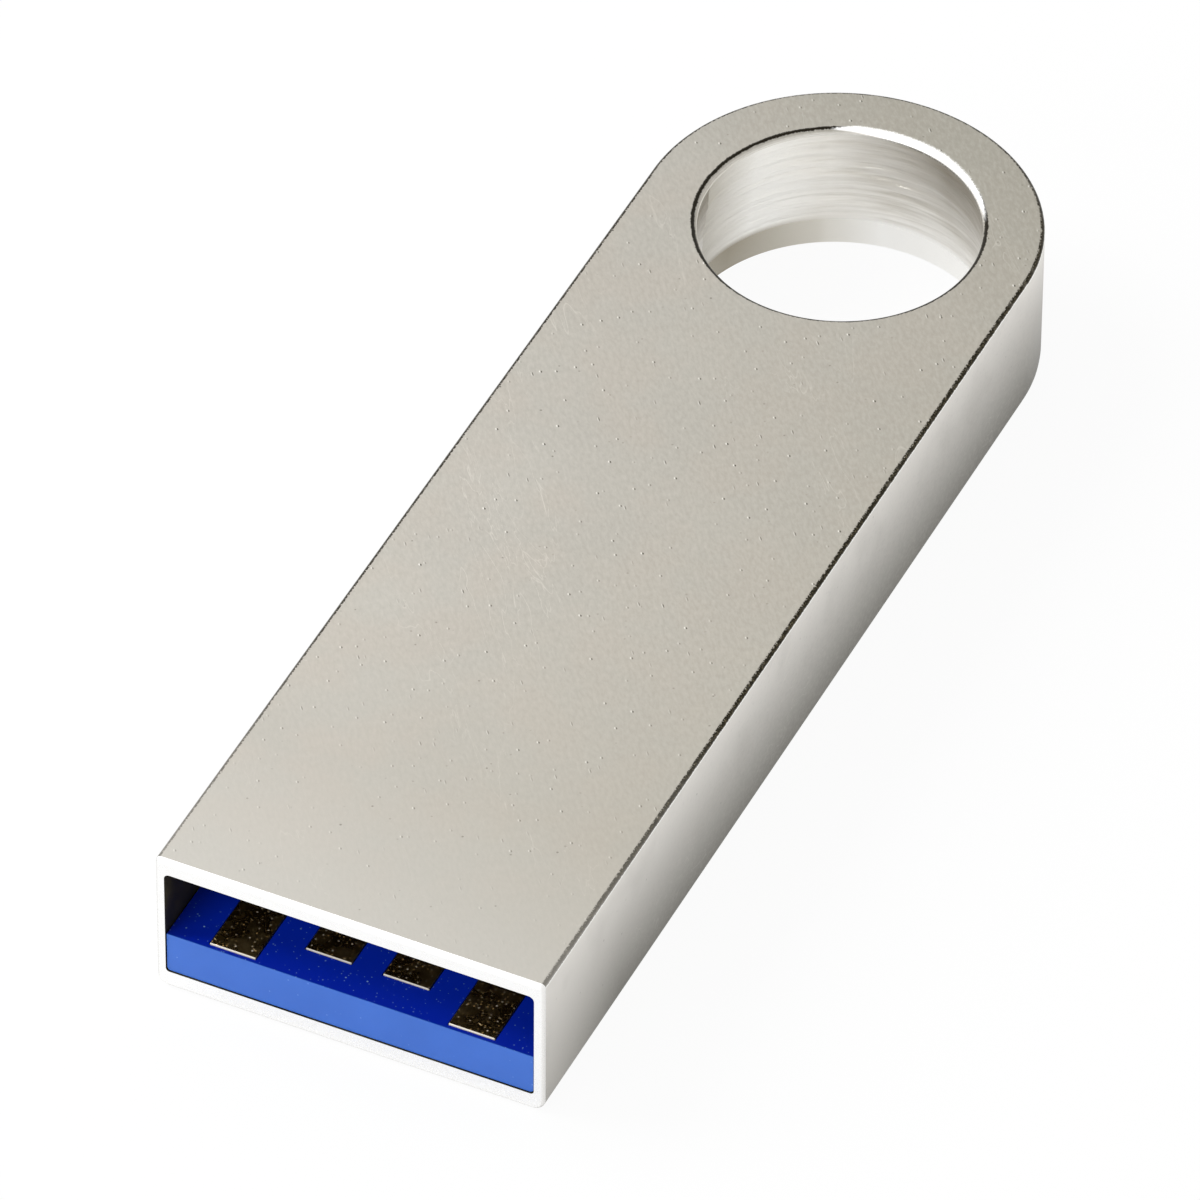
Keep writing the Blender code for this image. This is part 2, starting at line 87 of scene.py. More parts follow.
# The cast wall of the ring hole: its ripples' height, and their stretch round and down the wall.
RIPPLE_HEIGHT = 0.11 * MM
RIPPLE_STRETCH = (4.0 * MM, 4.0 * MM, 0.30 * MM)
RIPPLE_TILT = (math.radians(4.0), math.radians(5.0), 0.0)
RIPPLE_FADE = 0.25 * MM

# Small rounds on the moulded and stamped pieces, too fine for the solids.
MOULDED_ROUND = 0.025 * MM
PAD_ROUND = 0.035 * MM
SPRING_ROUND = 0.015 * MM

half_width = case_high.x
thickness = case_high.z
mouth_y = case_low.y
ring_y = case_high.y - half_width
pad_end_y = mouth_y + PAD_END_RECESS
cavity_half_width = holder_high.x + FIT
cavity_floor = holder_low.z - FIT
cavity_ceiling = holder_high.z + FIT
cavity_end_y = holder_high.y + FIT
bore_foot_radius = RING_BORE_RADIUS + (thickness - RING_FLARE_HEIGHT) * math.tan(RING_BORE_DRAFT)
flare_radius = bore_foot_radius + RING_FLARE_STEP

# Mesh fineness.
ARC_SIDES = 192
BORE_SIDES = 256
BORE_RINGS = 56
SPRING_STEPS = 12
TIP_STEPS = 4
ROUND_SEGMENTS = 6
OVERRUN = 1.0 * MM
CLOSE = 0.001 * MM

SPRING_NODES = [f"superspeed_spring_{number}" for number in range(1, 6)]
PAD_NODES = ("ground_contact", "data_plus_contact", "data_minus_contact", "power_contact")
COPIED_PADS = {"data_minus_contact": "data_plus_contact", "power_contact": "ground_contact"}


# -------- modelling by hand


def alone(piece):
    """Make one piece the only selected and active object."""
    bpy.ops.object.select_all(action="DESELECT")
    piece.select_set(True)
    bpy.context.view_layer.objects.active = piece


def named(name):
    """Name the object that an operator has just added."""
    piece = bpy.context.object
    piece.name = name
    piece.data.name = name
    return piece


def link(piece):
    bpy.context.scene.collection.objects.link(piece)
    return piece


def settle(piece):
    """Put a piece's place, turn and size into its mesh."""
    alone(piece)
    bpy.ops.object.transform_apply(location=True, rotation=True, scale=True)
    return piece


def add_block(name, low, high):
    low, high = Vector(low), Vector(high)
    bpy.ops.mesh.primitive_cube_add(size=1.0, location=(low + high) / 2)
    piece = named(name)
    piece.scale = high - low
    return settle(piece)


def mesh_unselected(piece, edges, faces):
    """A piece's mesh with nothing selected, ready to select edges or faces in."""
    alone(piece)
    bpy.context.tool_settings.mesh_select_mode = (False, edges, faces)
    mesh = piece.data
    for part in (*mesh.vertices, *mesh.edges, *mesh.polygons):
        part.select = False
    return mesh


def edit_edges(piece, test):
    """Enter edit mode with the edges selected whose two ends pass a test."""
    mesh = mesh_unselected(piece, edges=True, faces=False)
    for edge in mesh.edges:
        first, second = (mesh.vertices[index] for index in edge.vertices)
        if test(first.co, second.co):
            edge.select = first.select = second.select = True
    bpy.ops.object.mode_set(mode="EDIT")


def edit_faces(piece, test):
    """Enter edit mode with the faces selected whose middle and normal pass a test."""
    for face in mesh_unselected(piece, edges=False, faces=True).polygons:
        face.select = bool(test(face.center, face.normal))
    bpy.ops.object.mode_set(mode="EDIT")


def both_at(height, first, second):
    return abs(first.z - height) < CLOSE and abs(second.z - height) < CLOSE


def lengthways_at(height):
    """A test for the edges that run along the drive at a height."""
    return lambda first, second: both_at(height, first, second) and abs(first.x - second.x) < CLOSE


def leave_edit():
    bpy.ops.object.mode_set(mode="OBJECT")


def extrude(x=0.0, y=0.0, z=0.0):
    bpy.ops.mesh.extrude_region_move(TRANSFORM_OT_translate={"value": (x, y, z)})


def round_edges(piece, test, width):
    edit_edges(piece, test)
    bpy.ops.mesh.bevel(offset=width, segments=ROUND_SEGMENTS, affect="EDGES", clamp_overlap=True)
    leave_edit()


def modify(piece, kind, **settings):
    """Add a modifier with its settings and apply it."""
    alone(piece)
    modifier = piece.modifiers.new(kind.title(), kind)
    for key, value in settings.items():
        setattr(modifier, key, value)
    bpy.ops.object.modifier_apply(modifier=modifier.name)


def round_corners(piece, width, segments, sharper_than):
    """Round all the corners of a piece that turn by more than an angle in degrees."""
    limit = math.radians(sharper_than)
    modify(piece, "BEVEL", width=width, segments=segments, limit_method="ANGLE", angle_limit=limit)


def copy_across(piece, name, distance):
    """A copy of a finished piece with its own mesh, moved across the drive."""
    twin = piece.copy()
    twin.data = piece.data.copy()
    twin.name = twin.data.name = name
    link(twin)
    twin.location.x = distance
    return settle(twin)


def cut(piece, cutter):
    modify(piece, "BOOLEAN", operation="DIFFERENCE", solver="EXACT", object=cutter)
    bpy.data.objects.remove(cutter)


def face_outwards(piece):
    edit_faces(piece, lambda middle, normal: True)
    bpy.ops.mesh.normals_make_consistent(inside=False)
    leave_edit()


def smooth(piece):
    """Shade smooth over gentle bends, with flat faces kept flat."""
    alone(piece)
    bpy.ops.object.shade_smooth_by_angle(angle=math.radians(40.0))
    modify(piece, "WEIGHTED_NORMAL", mode="FACE_AREA", weight=80, keep_sharp=True)


def dress(piece, material, body, slot, *nodes):
    """Give a new piece its finish, its body and the solids that it stands for; the slot is not used."""
    piece.data.materials.clear()
    piece.data.materials.append(material)
    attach(piece, body)
    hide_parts(*nodes)


# -------- the pieces


def make_case_block():
    """The case as a solid bar with one round end and all its edges rounded."""
    bpy.ops.mesh.primitive_cylinder_add(
        vertices=ARC_SIDES, radius=half_width, depth=thickness, location=(0.0, ring_y, thickness / 2)
    )
    case = settle(named("metal_case"))
    edit_faces(case, lambda middle, normal: True)
    bpy.ops.mesh.bisect(plane_co=(0, ring_y, 0), plane_no=(0, 1, 0), use_fill=True, clear_inner=True)
    leave_edit()
    edit_faces(case, lambda middle, normal: abs(middle.y - ring_y) < CLOSE and abs(normal.y) > 0.9)
    extrude(y=mouth_y - ring_y)
    leave_edit()
    face_outwards(case)

    def at_mouth(point):
        return abs(point.y - mouth_y) < CLOSE

    for height, width in ((thickness, TOP_EDGE_ROUND), (0.0, BOTTOM_EDGE_ROUND)):

        def along_rim(first, second):
            across = abs(first.y - second.y) < CLOSE and abs(first.x - second.x) > half_width
            return both_at(height, first, second) and not across

        round_edges(case, along_rim, width)
    round_edges(case, lambda first, second: at_mouth(first) and at_mouth(second), MOUTH_EDGE_ROUND)
    return case


def make_cavity_cutter():
    cutter = add_block(
        "cavity",
        (-cavity_half_width, mouth_y - OVERRUN, cavity_floor),
        (cavity_half_width, cavity_end_y, cavity_ceiling),
    )
    round_edges(cutter, lengthways_at(cavity_ceiling), CAVITY_TOP_ROUND)
    round_edges(cutter, lengthways_at(cavity_floor), CAVITY_FLOOR_ROUND)
    return cutter


def bore_levels():
    """Height and radius down the ring hole: rounded edge, tapered wall, flared foot."""
    levels = []
    for step in range(ROUND_SEGMENTS + 1):
        turn = math.pi / 2 * step / ROUND_SEGMENTS
        radius = RING_BORE_RADIUS + RING_EDGE_ROUND * (1 - math.sin(turn))
        levels.append((thickness - RING_EDGE_ROUND * (1 - math.cos(turn)), radius))
    wall_top = thickness - RING_EDGE_ROUND
    for step in range(1, BORE_RINGS + 1):
        share = step / BORE_RINGS
        radius = RING_BORE_RADIUS + (bore_foot_radius - RING_BORE_RADIUS) * share
        levels.append((wall_top + (RING_FLARE_HEIGHT - wall_top) * share, radius))
    for step in range(1, ROUND_SEGMENTS + 1):
        share = step / ROUND_SEGMENTS
        radius = bore_foot_radius + RING_FLARE_STEP * (share + share * share) / 2
        levels.append((RING_FLARE_HEIGHT * (1 - share), radius))
    levels.append((-OVERRUN, radius))
    return levels


def make_bore_cutter():
    """The ring hole's plug, drawn down ring by ring and rippled as the cast wall is."""
    height, radius = thickness + OVERRUN, RING_BORE_RADIUS + RING_EDGE_ROUND
    bpy.ops.mesh.primitive_circle_add(
        vertices=BORE_SIDES, radius=radius, fill_type="NGON", location=(0.0, ring_y, height)
    )
    cutter = settle(named("bore"))
    edit_faces(cutter, lambda middle, normal: True)
    for next_height, next_radius in bore_levels():
        extrude(z=next_height - height)
        ratio = next_radius / radius
        bpy.ops.transform.resize(value=(ratio, ratio, 1.0), center_override=(0.0, ring_y, next_height))
        height, radius = next_height, next_radius
    leave_edit()
    face_outwards(cutter)

    wall_top = thickness - RING_EDGE_ROUND
    rippled = cutter.vertex_groups.new(name="wall")
    for vertex in cutter.data.vertices:
        depth = min(wall_top - vertex.co.z, vertex.co.z - RING_FLARE_HEIGHT)
        if depth > 0:
            rippled.add([vertex.index], min(depth / RIPPLE_FADE, 1.0), "REPLACE")
    ripples = bpy.data.textures.new("cast_ripples", "CLOUDS")
    ripples.noise_scale = 1.0
    ripples.noise_depth = 2
    stretch = link(bpy.data.objects.new("ripple_stretch", None))
    stretch.scale = RIPPLE_STRETCH
    stretch.rotation_euler = RIPPLE_TILT
    bpy.context.view_layer.update()
    modify(
        cutter,
        "DISPLACE",
        texture=ripples,
        texture_coords="OBJECT",
        texture_coords_object=stretch,
        vertex_group="wall",
        direction="NORMAL",
        mid_level=0.5,
        strength=RIPPLE_HEIGHT,
    )
    bpy.data.objects.remove(stretch)
    return cutter


def make_case(outside, inside, rim, bore):
    """The one-piece metal case, its cavity, mouth and ring hole finished each in its own way."""
    case = make_case_block()
    cut(case, make_cavity_cutter())
    cut(case, make_bore_cutter())
    smooth(case)
    dress(case, outside, "drive", "satin_nickel", "housing")
    for finish in (inside, rim, bore):
        case.data.materials.append(finish)
    bore_reach = flare_radius + 0.02 * MM
    for face in case.data.polygons:
        middle = face.center
        within = abs(middle.x) < cavity_half_width + CLOSE and middle.y < cavity_end_y + CLOSE
        level = cavity_floor - CLOSE < middle.z < cavity_ceiling + CLOSE
        inward = middle.x * face.normal.x + (middle.y - ring_y) * face.normal.y < 0
        round_hole = math.hypot(middle.x, middle.y - ring_y) < bore_reach
        if within and level and mouth_y + CLOSE < middle.y:
            face.material_index = 1
        elif middle.y < mouth_y + MOUTH_EDGE_ROUND - CLOSE:
            face.material_index = 2
        elif round_hole and inward and middle.z < thickness - RING_EDGE_ROUND * 0.9:
            face.material_index = 3


def make_tongue(material):
    """The blue moulded tongue with its pockets and spring slots."""
    tongue = add_block("blue_tongue", tongue_low, tongue_high)
    round_edges(tongue, lengthways_at(tongue_low.z), CAVITY_FLOOR_ROUND)
    for node in PAD_NODES:
        low, high = corners(node)
        pocket = add_block(
            "pocket",
            (low.x - FIT, low.y - FIT, high.z - CONTACT_THICKNESS - FIT),
            (high.x + FIT, pad_end_y + FIT, tongue_high.z + OVERRUN),
        )
        cut(tongue, pocket)
    for node in SPRING_NODES:
        low, high = corners(node)
        slot = add_block(
            "slot",
            (low.x - SPRING_SLOT_MARGIN, low.y - SPRING_SLOT_MARGIN, tongue_high.z - SPRING_SLOT_DEPTH),
            (high.x + SPRING_SLOT_MARGIN, high.y + SPRING_SLOT_BACK, tongue_high.z + OVERRUN),
        )
        cut(tongue, slot)
    round_corners(tongue, MOULDED_ROUND, 2, 60.0)
    smooth(tongue)
    dress(tongue, material, "drive", "blue_plastic", "contact_carrier")


def box_middle_x(node):
    low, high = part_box(node)
    return (low[0] + high[0]) / 2


def make_flat_contact(node):
    """A flat contact: its pad is drawn back, narrowed, stepped down and run out to the board."""
    low, high = corners(node)
    pad_width = high.x - low.x
    taper = (pad_width - CONTACT_STEM_WIDTH) / 2
    straight_end = pad_end_y - CONTACT_THICKNESS * 1.5 - taper
    pad_bottom = high.z - CONTACT_THICKNESS
    contact = add_block(node + "_strip", (low.x, low.y, pad_bottom), (high.x, straight_end, high.z))

    edit_faces(contact, lambda middle, normal: normal.y > 0.9)
    extrude(y=taper)
    narrow = CONTACT_STEM_WIDTH / pad_width
    bpy.ops.transform.resize(value=(narrow, 1.0, 1.0), center_override=(box_middle_x(node), 0.0, 0.0))
    extrude(y=CONTACT_THICKNESS / 2)
    extrude(y=CONTACT_THICKNESS)
    leave_edit()
    edit_faces(contact, lambda middle, normal: normal.z < -0.9 and middle.y > pad_end_y - CONTACT_THICKNESS)
    extrude(z=low.z - pad_bottom + CONTACT_THICKNESS)
    extrude(z=-CONTACT_THICKNESS)
    leave_edit()
    edit_faces(contact, lambda middle, normal: normal.y > 0.9 and middle.z < low.z + CONTACT_THICKNESS)
    extrude(y=high.y - pad_end_y)
    leave_edit()
    round_corners(contact, PAD_ROUND, 3, 40.0)
    smooth(contact)
    return contact


def make_flat_contacts(material):
    """The four flat contacts: an outer and an inner one are modelled, the other two are copied across."""
    contacts = {}
    for node in PAD_NODES:
        if node in COPIED_PADS:
            model = COPIED_PADS[node]
            distance = box_middle_x(node) - box_middle_x(model)
            contacts[node] = copy_across(contacts[model], node + "_strip", distance)
        else:
            contacts[node] = make_flat_contact(node)
    for node, contact in contacts.items():
        dress(contact, material, "drive", "gold_plate", node)


def spring_path(low, high):
    """Stations from a sprung contact's tip over its apex and down to its root: places along and up."""
    half = SPRING_THICKNESS / 2
    root_z = tongue_high.z + SPRING_ROOT_LIFT + half
    apex = (low.y + SPRING_APEX_REACH, high.z - half)
    tip = (low.y, tongue_high.z + half)
    path = []
    for step in range(SPRING_STEPS + 1):
        share = step / SPRING_STEPS
        eased = math.sin(share * math.pi / 2)
        path.append((tip[0] + (apex[0] - tip[0]) * share, tip[1] + (apex[1] - tip[1]) * eased))
    slope_end = high.y - SPRING_HEEL
    for step in range(1, SPRING_STEPS + 1):
        share = step / SPRING_STEPS
        eased = (1 - math.cos(share * math.pi)) / 2
        path.append((apex[0] + (slope_end - apex[0]) * share, apex[1] + (root_z - apex[1]) * eased))
    path.append((high.y, root_z))
    return path


def make_spring(node, name):
    """A sprung contact, drawn along its bent strip, with a narrower tip."""
    low, high = corners(node)
    middle_x = box_middle_x(node)
    path = spring_path(low, high)
    tip_y, tip_z = path[0]
    bpy.ops.mesh.primitive_plane_add(size=1.0, location=(0, 0, 0))
    strip = named(name)
    strip.scale = ((high.x - low.x) * SPRING_TIP_WIDTH, SPRING_TIP_LENGTH, 1.0)
    strip.location = (middle_x, tip_y + SPRING_TIP_LENGTH / 2, tip_z)
    settle(strip)
    edit_edges(strip, lambda first, second: min(first.y, second.y) > tip_y + CLOSE)
    at_y, at_z = tip_y + SPRING_TIP_LENGTH, tip_z
    for index, (y, z) in enumerate(path[1:], start=1):
        extrude(y=y - at_y, z=z - at_z)
        if index <= TIP_STEPS:
            step = (1.0 - SPRING_TIP_WIDTH) / TIP_STEPS
            widen = (SPRING_TIP_WIDTH + step * index) / (SPRING_TIP_WIDTH + step * (index - 1))
            bpy.ops.transform.resize(value=(widen, 1.0, 1.0), center_override=(middle_x, 0.0, 0.0))
        at_y, at_z = y, z
    leave_edit()
    modify(strip, "SOLIDIFY", thickness=SPRING_THICKNESS, offset=0.0, use_even_offset=True)
    face_outwards(strip)
    round_corners(strip, SPRING_ROUND, 2, 60.0)
    smooth(strip)
    return strip


def make_springs(material):
    """The five sprung contacts: the first is modelled, the others are copied across."""
    first_node = SPRING_NODES[0]
    springs = [make_spring(first_node, "sprung_contact_1")]
    for number, node in enumerate(SPRING_NODES[1:], start=2):
        distance = box_middle_x(node) - box_middle_x(first_node)
        springs.append(copy_across(springs[0], f"sprung_contact_{number}", distance))
    for number, (node, spring) in enumerate(zip(SPRING_NODES, springs), start=1):
        dress(spring, material, f"spring_{number}", "gold_plate", node)


# -------- finishes


TOP_NICKEL_DARK = (0.415, 0.396, 0.356)
TOP_NICKEL_LIGHT = (0.432, 0.413, 0.371)
SIDE_NICKEL_LIT = (0.79, 0.765, 0.72)
SIDE_NICKEL_SHADED = (0.165, 0.157, 0.133)
TOP_NICKEL_WARM = (0.435, 0.401, 0.354)
TOP_NICKEL_SHADE_RIGHT = (0.375, 0.350, 0.292)
TOP_NICKEL_SHEEN = (0.470, 0.455, 0.420)
TOP_NICKEL_SHADE_AT_RING = (0.318, 0.303, 0.255)
SIDE_NICKEL_SMUDGE = (0.30, 0.285, 0.25)
GRAIN_LIGHT = (0.80, 0.77, 0.70)
GRAIN_DARK = (0.16, 0.15, 0.12)
PIT_HIGHLIGHT = (0.90, 0.88, 0.82)
PIT_SHADE = (0.06, 0.055, 0.04)
SCRATCH_LIGHT = (0.78, 0.75, 0.68)
EDGE_HIGHLIGHT = (0.92, 0.91, 0.88)
EDGE_SHADE_DARK = (0.022, 0.019, 0.012)
EDGE_SHADE_BROWN = (0.12, 0.10, 0.06)
HOLE_EDGE_SHADE = (0.018, 0.015, 0.010)
HOLE_EDGE_HIGHLIGHT = (0.98, 0.975, 0.955)
RIM_DARK = (0.955, 0.95, 0.94)
RIM_LIGHT = (0.965, 0.965, 0.955)
RIM_SHADE_LEFT = (0.76, 0.755, 0.74)
RIM_SHADE_RIGHT = (0.86, 0.85, 0.83)
RIM_SHADE_LOW = (0.66, 0.65, 0.63)
BORE_STREAK_DARK = (0.56, 0.53, 0.465)
BORE_STREAK_LIGHT = (0.98, 0.96, 0.915)
BORE_CALM = (0.92, 0.895, 0.84)
BORE_BROAD = (0.99, 0.98, 0.95)
BORE_SHEEN = (1.0, 0.995, 0.965)
BORE_SHADED = (0.40, 0.375, 0.31)
BORE_UPPER_SHADE = (0.26, 0.228, 0.178)
FOOT_SHADE = (0.36, 0.325, 0.25)
FOOT_HALF_SHADE = (0.76, 0.735, 0.67)
FOOT_LIT = (1.0, 0.995, 0.97)
BLUE_TOP_SHADE_DARK = (0.0005, 0.018, 0.46)
BLUE_TOP_SHADE_LIGHT = (0.001, 0.040, 0.86)
BLUE_FRONT_LIT_DARK = (0.020, 0.125, 0.555)
BLUE_FRONT_LIT_LIGHT = (0.026, 0.140, 0.600)
BLUE_LIP_HIGHLIGHT = (0.35, 0.55, 0.95)
BLUE_DUST = (0.38, 0.66, 1.0)
GOLD_DARK = (0.62, 0.41, 0.16)
GOLD_LIGHT = (0.80, 0.58, 0.27)
GOLD_DUST = (0.85, 0.50, 0.16)
GOLD_GRIT = (1.0, 0.93, 0.82)
GOLD_RUBBED = (0.95, 0.72, 0.40)
GOLD_EDGE_HIGHLIGHT = (1.0, 0.94, 0.80)
TIN = (0.74, 0.73, 0.70)

# The dark and light tones that mottle the finishes inside the case.
BLACK_PACKAGE = ((0.012, 0.012, 0.013), (0.03, 0.03, 0.032))
GREEN_MASK = ((0.01, 0.12, 0.05), (0.02, 0.18, 0.08))
CRYSTAL_CAN = ((0.55, 0.55, 0.53), (0.7, 0.7, 0.68))
GREY_FERRITE = ((0.07, 0.07, 0.08), (0.12, 0.12, 0.13))
TAN_CERAMIC = ((0.40, 0.28, 0.18), (0.5, 0.37, 0.25))
BLACK_RESISTOR = ((0.02, 0.02, 0.022), (0.05, 0.05, 0.055))
BLACK_PLASTIC = ((0.02, 0.02, 0.02), (0.04, 0.04, 0.04))
WHITE_FOAM = ((0.65, 0.65, 0.62), (0.78, 0.78, 0.76))

# Where the coarser dust on the blue and the gold starts from, in millimetres.
GRIT_SHIFT = (3.1, 0.7, 0.0)

# The way that the grain, the pits and the scratches of the top were wiped.
WIPE_TURN = (0.0, 0.0, math.radians(52.0))


class Nodes:
    """A material's or group's node tree, filled in a few words."""

    def __init__(self, tree):
        self.tree = tree

    def add(self, kind, inputs=None, **settings):
        node = self.tree.nodes.new(kind)
        for key, value in settings.items():
            setattr(node, key, value)
        for key, value in (inputs or {}).items():
            self.give(node.inputs[key], value)
        return node

    def give(self, socket, value):
        """Link or set an input. Colours are given without their alpha, which is 1."""
        if isinstance(value, bpy.types.NodeSocket):
            self.tree.links.new(value, socket)
        else:
            socket.default_value = (*value, 1) if socket.type == "RGBA" else value

    def maths(self, operation, first, second=0.5):
        return self.add("ShaderNodeMath", {0: first, 1: second}, operation=operation).outputs[0]

    def times(self, value, *factors):
        for factor in factors:
            value = self.maths("MULTIPLY", value, factor)
        return value

    def plus(self, first, second):
        return self.maths("ADD", first, second)

    def minus(self, first, second):
        return self.maths("SUBTRACT", first, second)

    def larger(self, first, second):
        return self.maths("MAXIMUM", first, second)

    def size(self, value):
        return self.maths("ABSOLUTE", value)

    def between(self, value, low, high, to_low=0.0, to_high=1.0):
        """A value's place between two limits, clamped."""
        inputs = {0: value, 1: low, 2: high, 3: to_low, 4: to_high}
        return self.add("ShaderNodeMapRange", inputs, clamp=True).outputs[0]

    def blend(self, share, first, second):
        node = self.add("ShaderNodeMix", data_type="RGBA")
        self.give(node.inputs[0], share)
        self.give(node.inputs[6], first)
        self.give(node.inputs[7], second)
        return node.outputs[2]

    def noise(self, where, scale, detail=2.0, roughness=0.5, distortion=0.0):
        node = self.add("ShaderNodeTexNoise", {"Vector": where, "Scale": scale, "Detail": detail})
        self.give(node.inputs["Roughness"], roughness)
        self.give(node.inputs["Distortion"], distortion)
        return node.outputs["Fac"]

    def split(self, vector):
        """A vector's three parts."""
        return self.add("ShaderNodeSeparateXYZ", {"Vector": vector}).outputs

    def facing(self):
        """The three parts of the surface's normal."""
        return self.split(self.add("ShaderNodeTexCoord").outputs["Normal"])

    def paint(self, shader, colour, roughness):
        self.give(shader.inputs["Base Color"], colour)
        self.give(shader.inputs["Roughness"], roughness)

    def bump(self, shader, height, strength, depth):
        """Raise a height on the shader's normal, to a depth in millimetres."""
        node = self.add("ShaderNodeBump", {"Strength": strength, "Distance": depth * MM, "Height": height})
        self.give(shader.inputs["Normal"], node.outputs[0])
        return node

    def place(self, turn=(0, 0, 0), scale=(1, 1, 1), shift=(0, 0, 0)):
        """Object coordinates in millimetres, turned, then stretched along the turned axes, then moved."""
        here = self.add("ShaderNodeTexCoord").outputs["Object"]
        turned = self.add("ShaderNodeMapping", {"Vector": here, "Rotation": turn}).outputs[0]
        scale = tuple(value / MM for value in scale)
        moved = self.add("ShaderNodeMapping", {"Vector": turned, "Scale": scale, "Location": shift})
        return moved.outputs[0]


def start_material(name, **shader_settings):
    """A material with its shader's plain settings on its own sockets."""
    material = bpy.data.materials.new(name)
    material.use_nodes = True
    nodes = Nodes(material.node_tree)
    shader = material.node_tree.nodes["Principled BSDF"]
    for key, value in shader_settings.items():
        nodes.give(shader.inputs[key.replace("_", " ")], value)
    return material, nodes, shader


def make_group(name, inputs, outputs):
    group = bpy.data.node_groups.new(name, "ShaderNodeTree")
    for label, default in inputs:
        kind = "NodeSocketVector" if label == "Place" else "NodeSocketFloat"
        socket = group.interface.new_socket(name=label, in_out="INPUT", socket_type=kind)
        if default is not None:
            socket.default_value = default
    for label in outputs:
        group.interface.new_socket(name=label, in_out="OUTPUT", socket_type="NodeSocketFloat")
    nodes = Nodes(group)
    entry = nodes.add("NodeGroupInput")
    leave = nodes.add("NodeGroupOutput")
    return group, nodes, entry, leave


def specks_group(name, dimensions):
    """Small scattered specks: one per cell, of a size and share that each material sets."""
    group, nodes, entry, leave = make_group(
        name, [("Place", None), ("Per mm", 4.0), ("Size", 0.1), ("Share", 0.5)], ["Mask"]
    )
    cells = nodes.add(
        "ShaderNodeTexVoronoi",
        {"Vector": entry.outputs["Place"], "Scale": entry.outputs["Per mm"]},
        voronoi_dimensions=dimensions,
    )
    lottery = nodes.add("ShaderNodeSeparateColor", {"Color": cells.outputs["Color"]}).outputs
    chosen = nodes.maths("LESS_THAN", lottery[0], entry.outputs["Share"])
    strength = nodes.between(nodes.maths("POWER", lottery[1], 1.4), 0.0, 1.0, 0.25, 1.0)
    inner = nodes.times(entry.outputs["Size"], 0.5)
    spot = nodes.between(cells.outputs["Distance"], entry.outputs["Size"], inner)
    nodes.give(leave.inputs["Mask"], nodes.times(chosen, strength, spot))
    return group


def scratches_group():
    """Fine hair scratches: thin lines of a stretched, broken noise."""
    group, nodes, entry, leave = make_group("scratches", [("Place", None), ("Share", 0.5)], ["Mask"])
    wander = nodes.noise(entry.outputs["Place"], 0.35, detail=1.0)
    lines = nodes.noise(entry.outputs["Place"], 1.0, detail=3.0, distortion=0.6)
    thin = nodes.between(nodes.size(nodes.minus(lines, 0.5)), 0.006, 0.0)
    broken = nodes.between(wander, 0.55, 0.62)
    nodes.give(leave.inputs["Mask"], nodes.times(thin, broken, entry.outputs["Share"]))
    return group


def use_group(nodes, group, **inputs):
    node = nodes.add("ShaderNodeGroup", node_tree=group)
    for key, value in inputs.items():
        nodes.give(node.inputs[key.replace("_", " ")], value)
    return node.outputs[0]


class CasePlace:
    """Where a point of the case lies, in millimetres and round the ring hole."""

    def __init__(self, nodes):
        self.nodes = nodes
        self.here = nodes.place()
        self.across, self.along, self.height = nodes.split(self.here)
        self.from_ring = nodes.minus(self.along, ring_y / MM)
        self.turn = nodes.maths("ARCTAN2", self.from_ring, self.across)
        self.top = thickness / MM
        self.mouth = mouth_y / MM
        self.hole = RING_BORE_RADIUS / MM

    def arc(self, start, end, to_start=0.0, to_end=1.0):
        """A value's change round the ring hole, from one angle in degrees to another."""
        return self.nodes.between(self.turn, math.radians(start), math.radians(end), to_start, to_end)


class NickelPlace(CasePlace):
    """The same, with the masks and noises that the nickel's marks and edges share."""

    def __init__(self, nodes):
        super().__init__(nodes)
        self.upward = nodes.facing()["Z"]
        self.upper = nodes.between(self.height, self.top - 0.24, self.top - 0.20)
        self.busy = nodes.between(self.along, self.mouth + 2.0, self.mouth + 15.0, 0.4, 1.0)
        self.fine = nodes.noise(self.here, 16.0, roughness=0.7)
        self.coarse = nodes.noise(self.here, 3.0)
        flat_spot = nodes.add("ShaderNodeCombineXYZ", {"X": self.across, "Y": self.from_ring}).outputs[0]
        self.reach = nodes.add("ShaderNodeVectorMath", {0: flat_spot}, operation="LENGTH").outputs["Value"]


def nickel_top_tone(nodes, case):
    """The flat top's tone: softly clouded, with painted shade making it darker and warmer on the right, a
    painted sheen at the mouth and painted shade round the ring.
    """
    clouds = nodes.noise(case.here, 0.25)
    tone = nodes.blend(nodes.between(clouds, 0.3, 0.7), TOP_NICKEL_DARK, TOP_NICKEL_LIGHT)
    warmth = nodes.noise(nodes.place(shift=(7.0, 3.0, 0.0)), 0.4, detail=3.0)
    tone = nodes.blend(nodes.between(warmth, 0.42, 0.60, 0.0, 0.6), tone, TOP_NICKEL_WARM)
    # Painted shade: darker and warmer towards the right.
    tone = nodes.blend(nodes.between(case.across, -4.0, 5.5, 0.0, 0.4), tone, TOP_NICKEL_SHADE_RIGHT)
    # A painted sheen near the mouth.
    front = nodes.between(case.along, case.mouth + 6.0, case.mouth + 0.5, 0.0, 0.6)
    tone = nodes.blend(front, tone, TOP_NICKEL_SHEEN)
    # Painted shade, darker towards the ring.
    tone = nodes.blend(nodes.between(case.along, 0.0, 6.0, 0.0, 0.10), tone, TOP_NICKEL_SHADE_AT_RING)
    towards_ring = nodes.plus(case.along, nodes.times(case.across, 0.3))
    return nodes.blend(nodes.between(towards_ring, 12.5, 19.0, 0.0, 0.62), tone, TOP_NICKEL_SHADE_AT_RING)


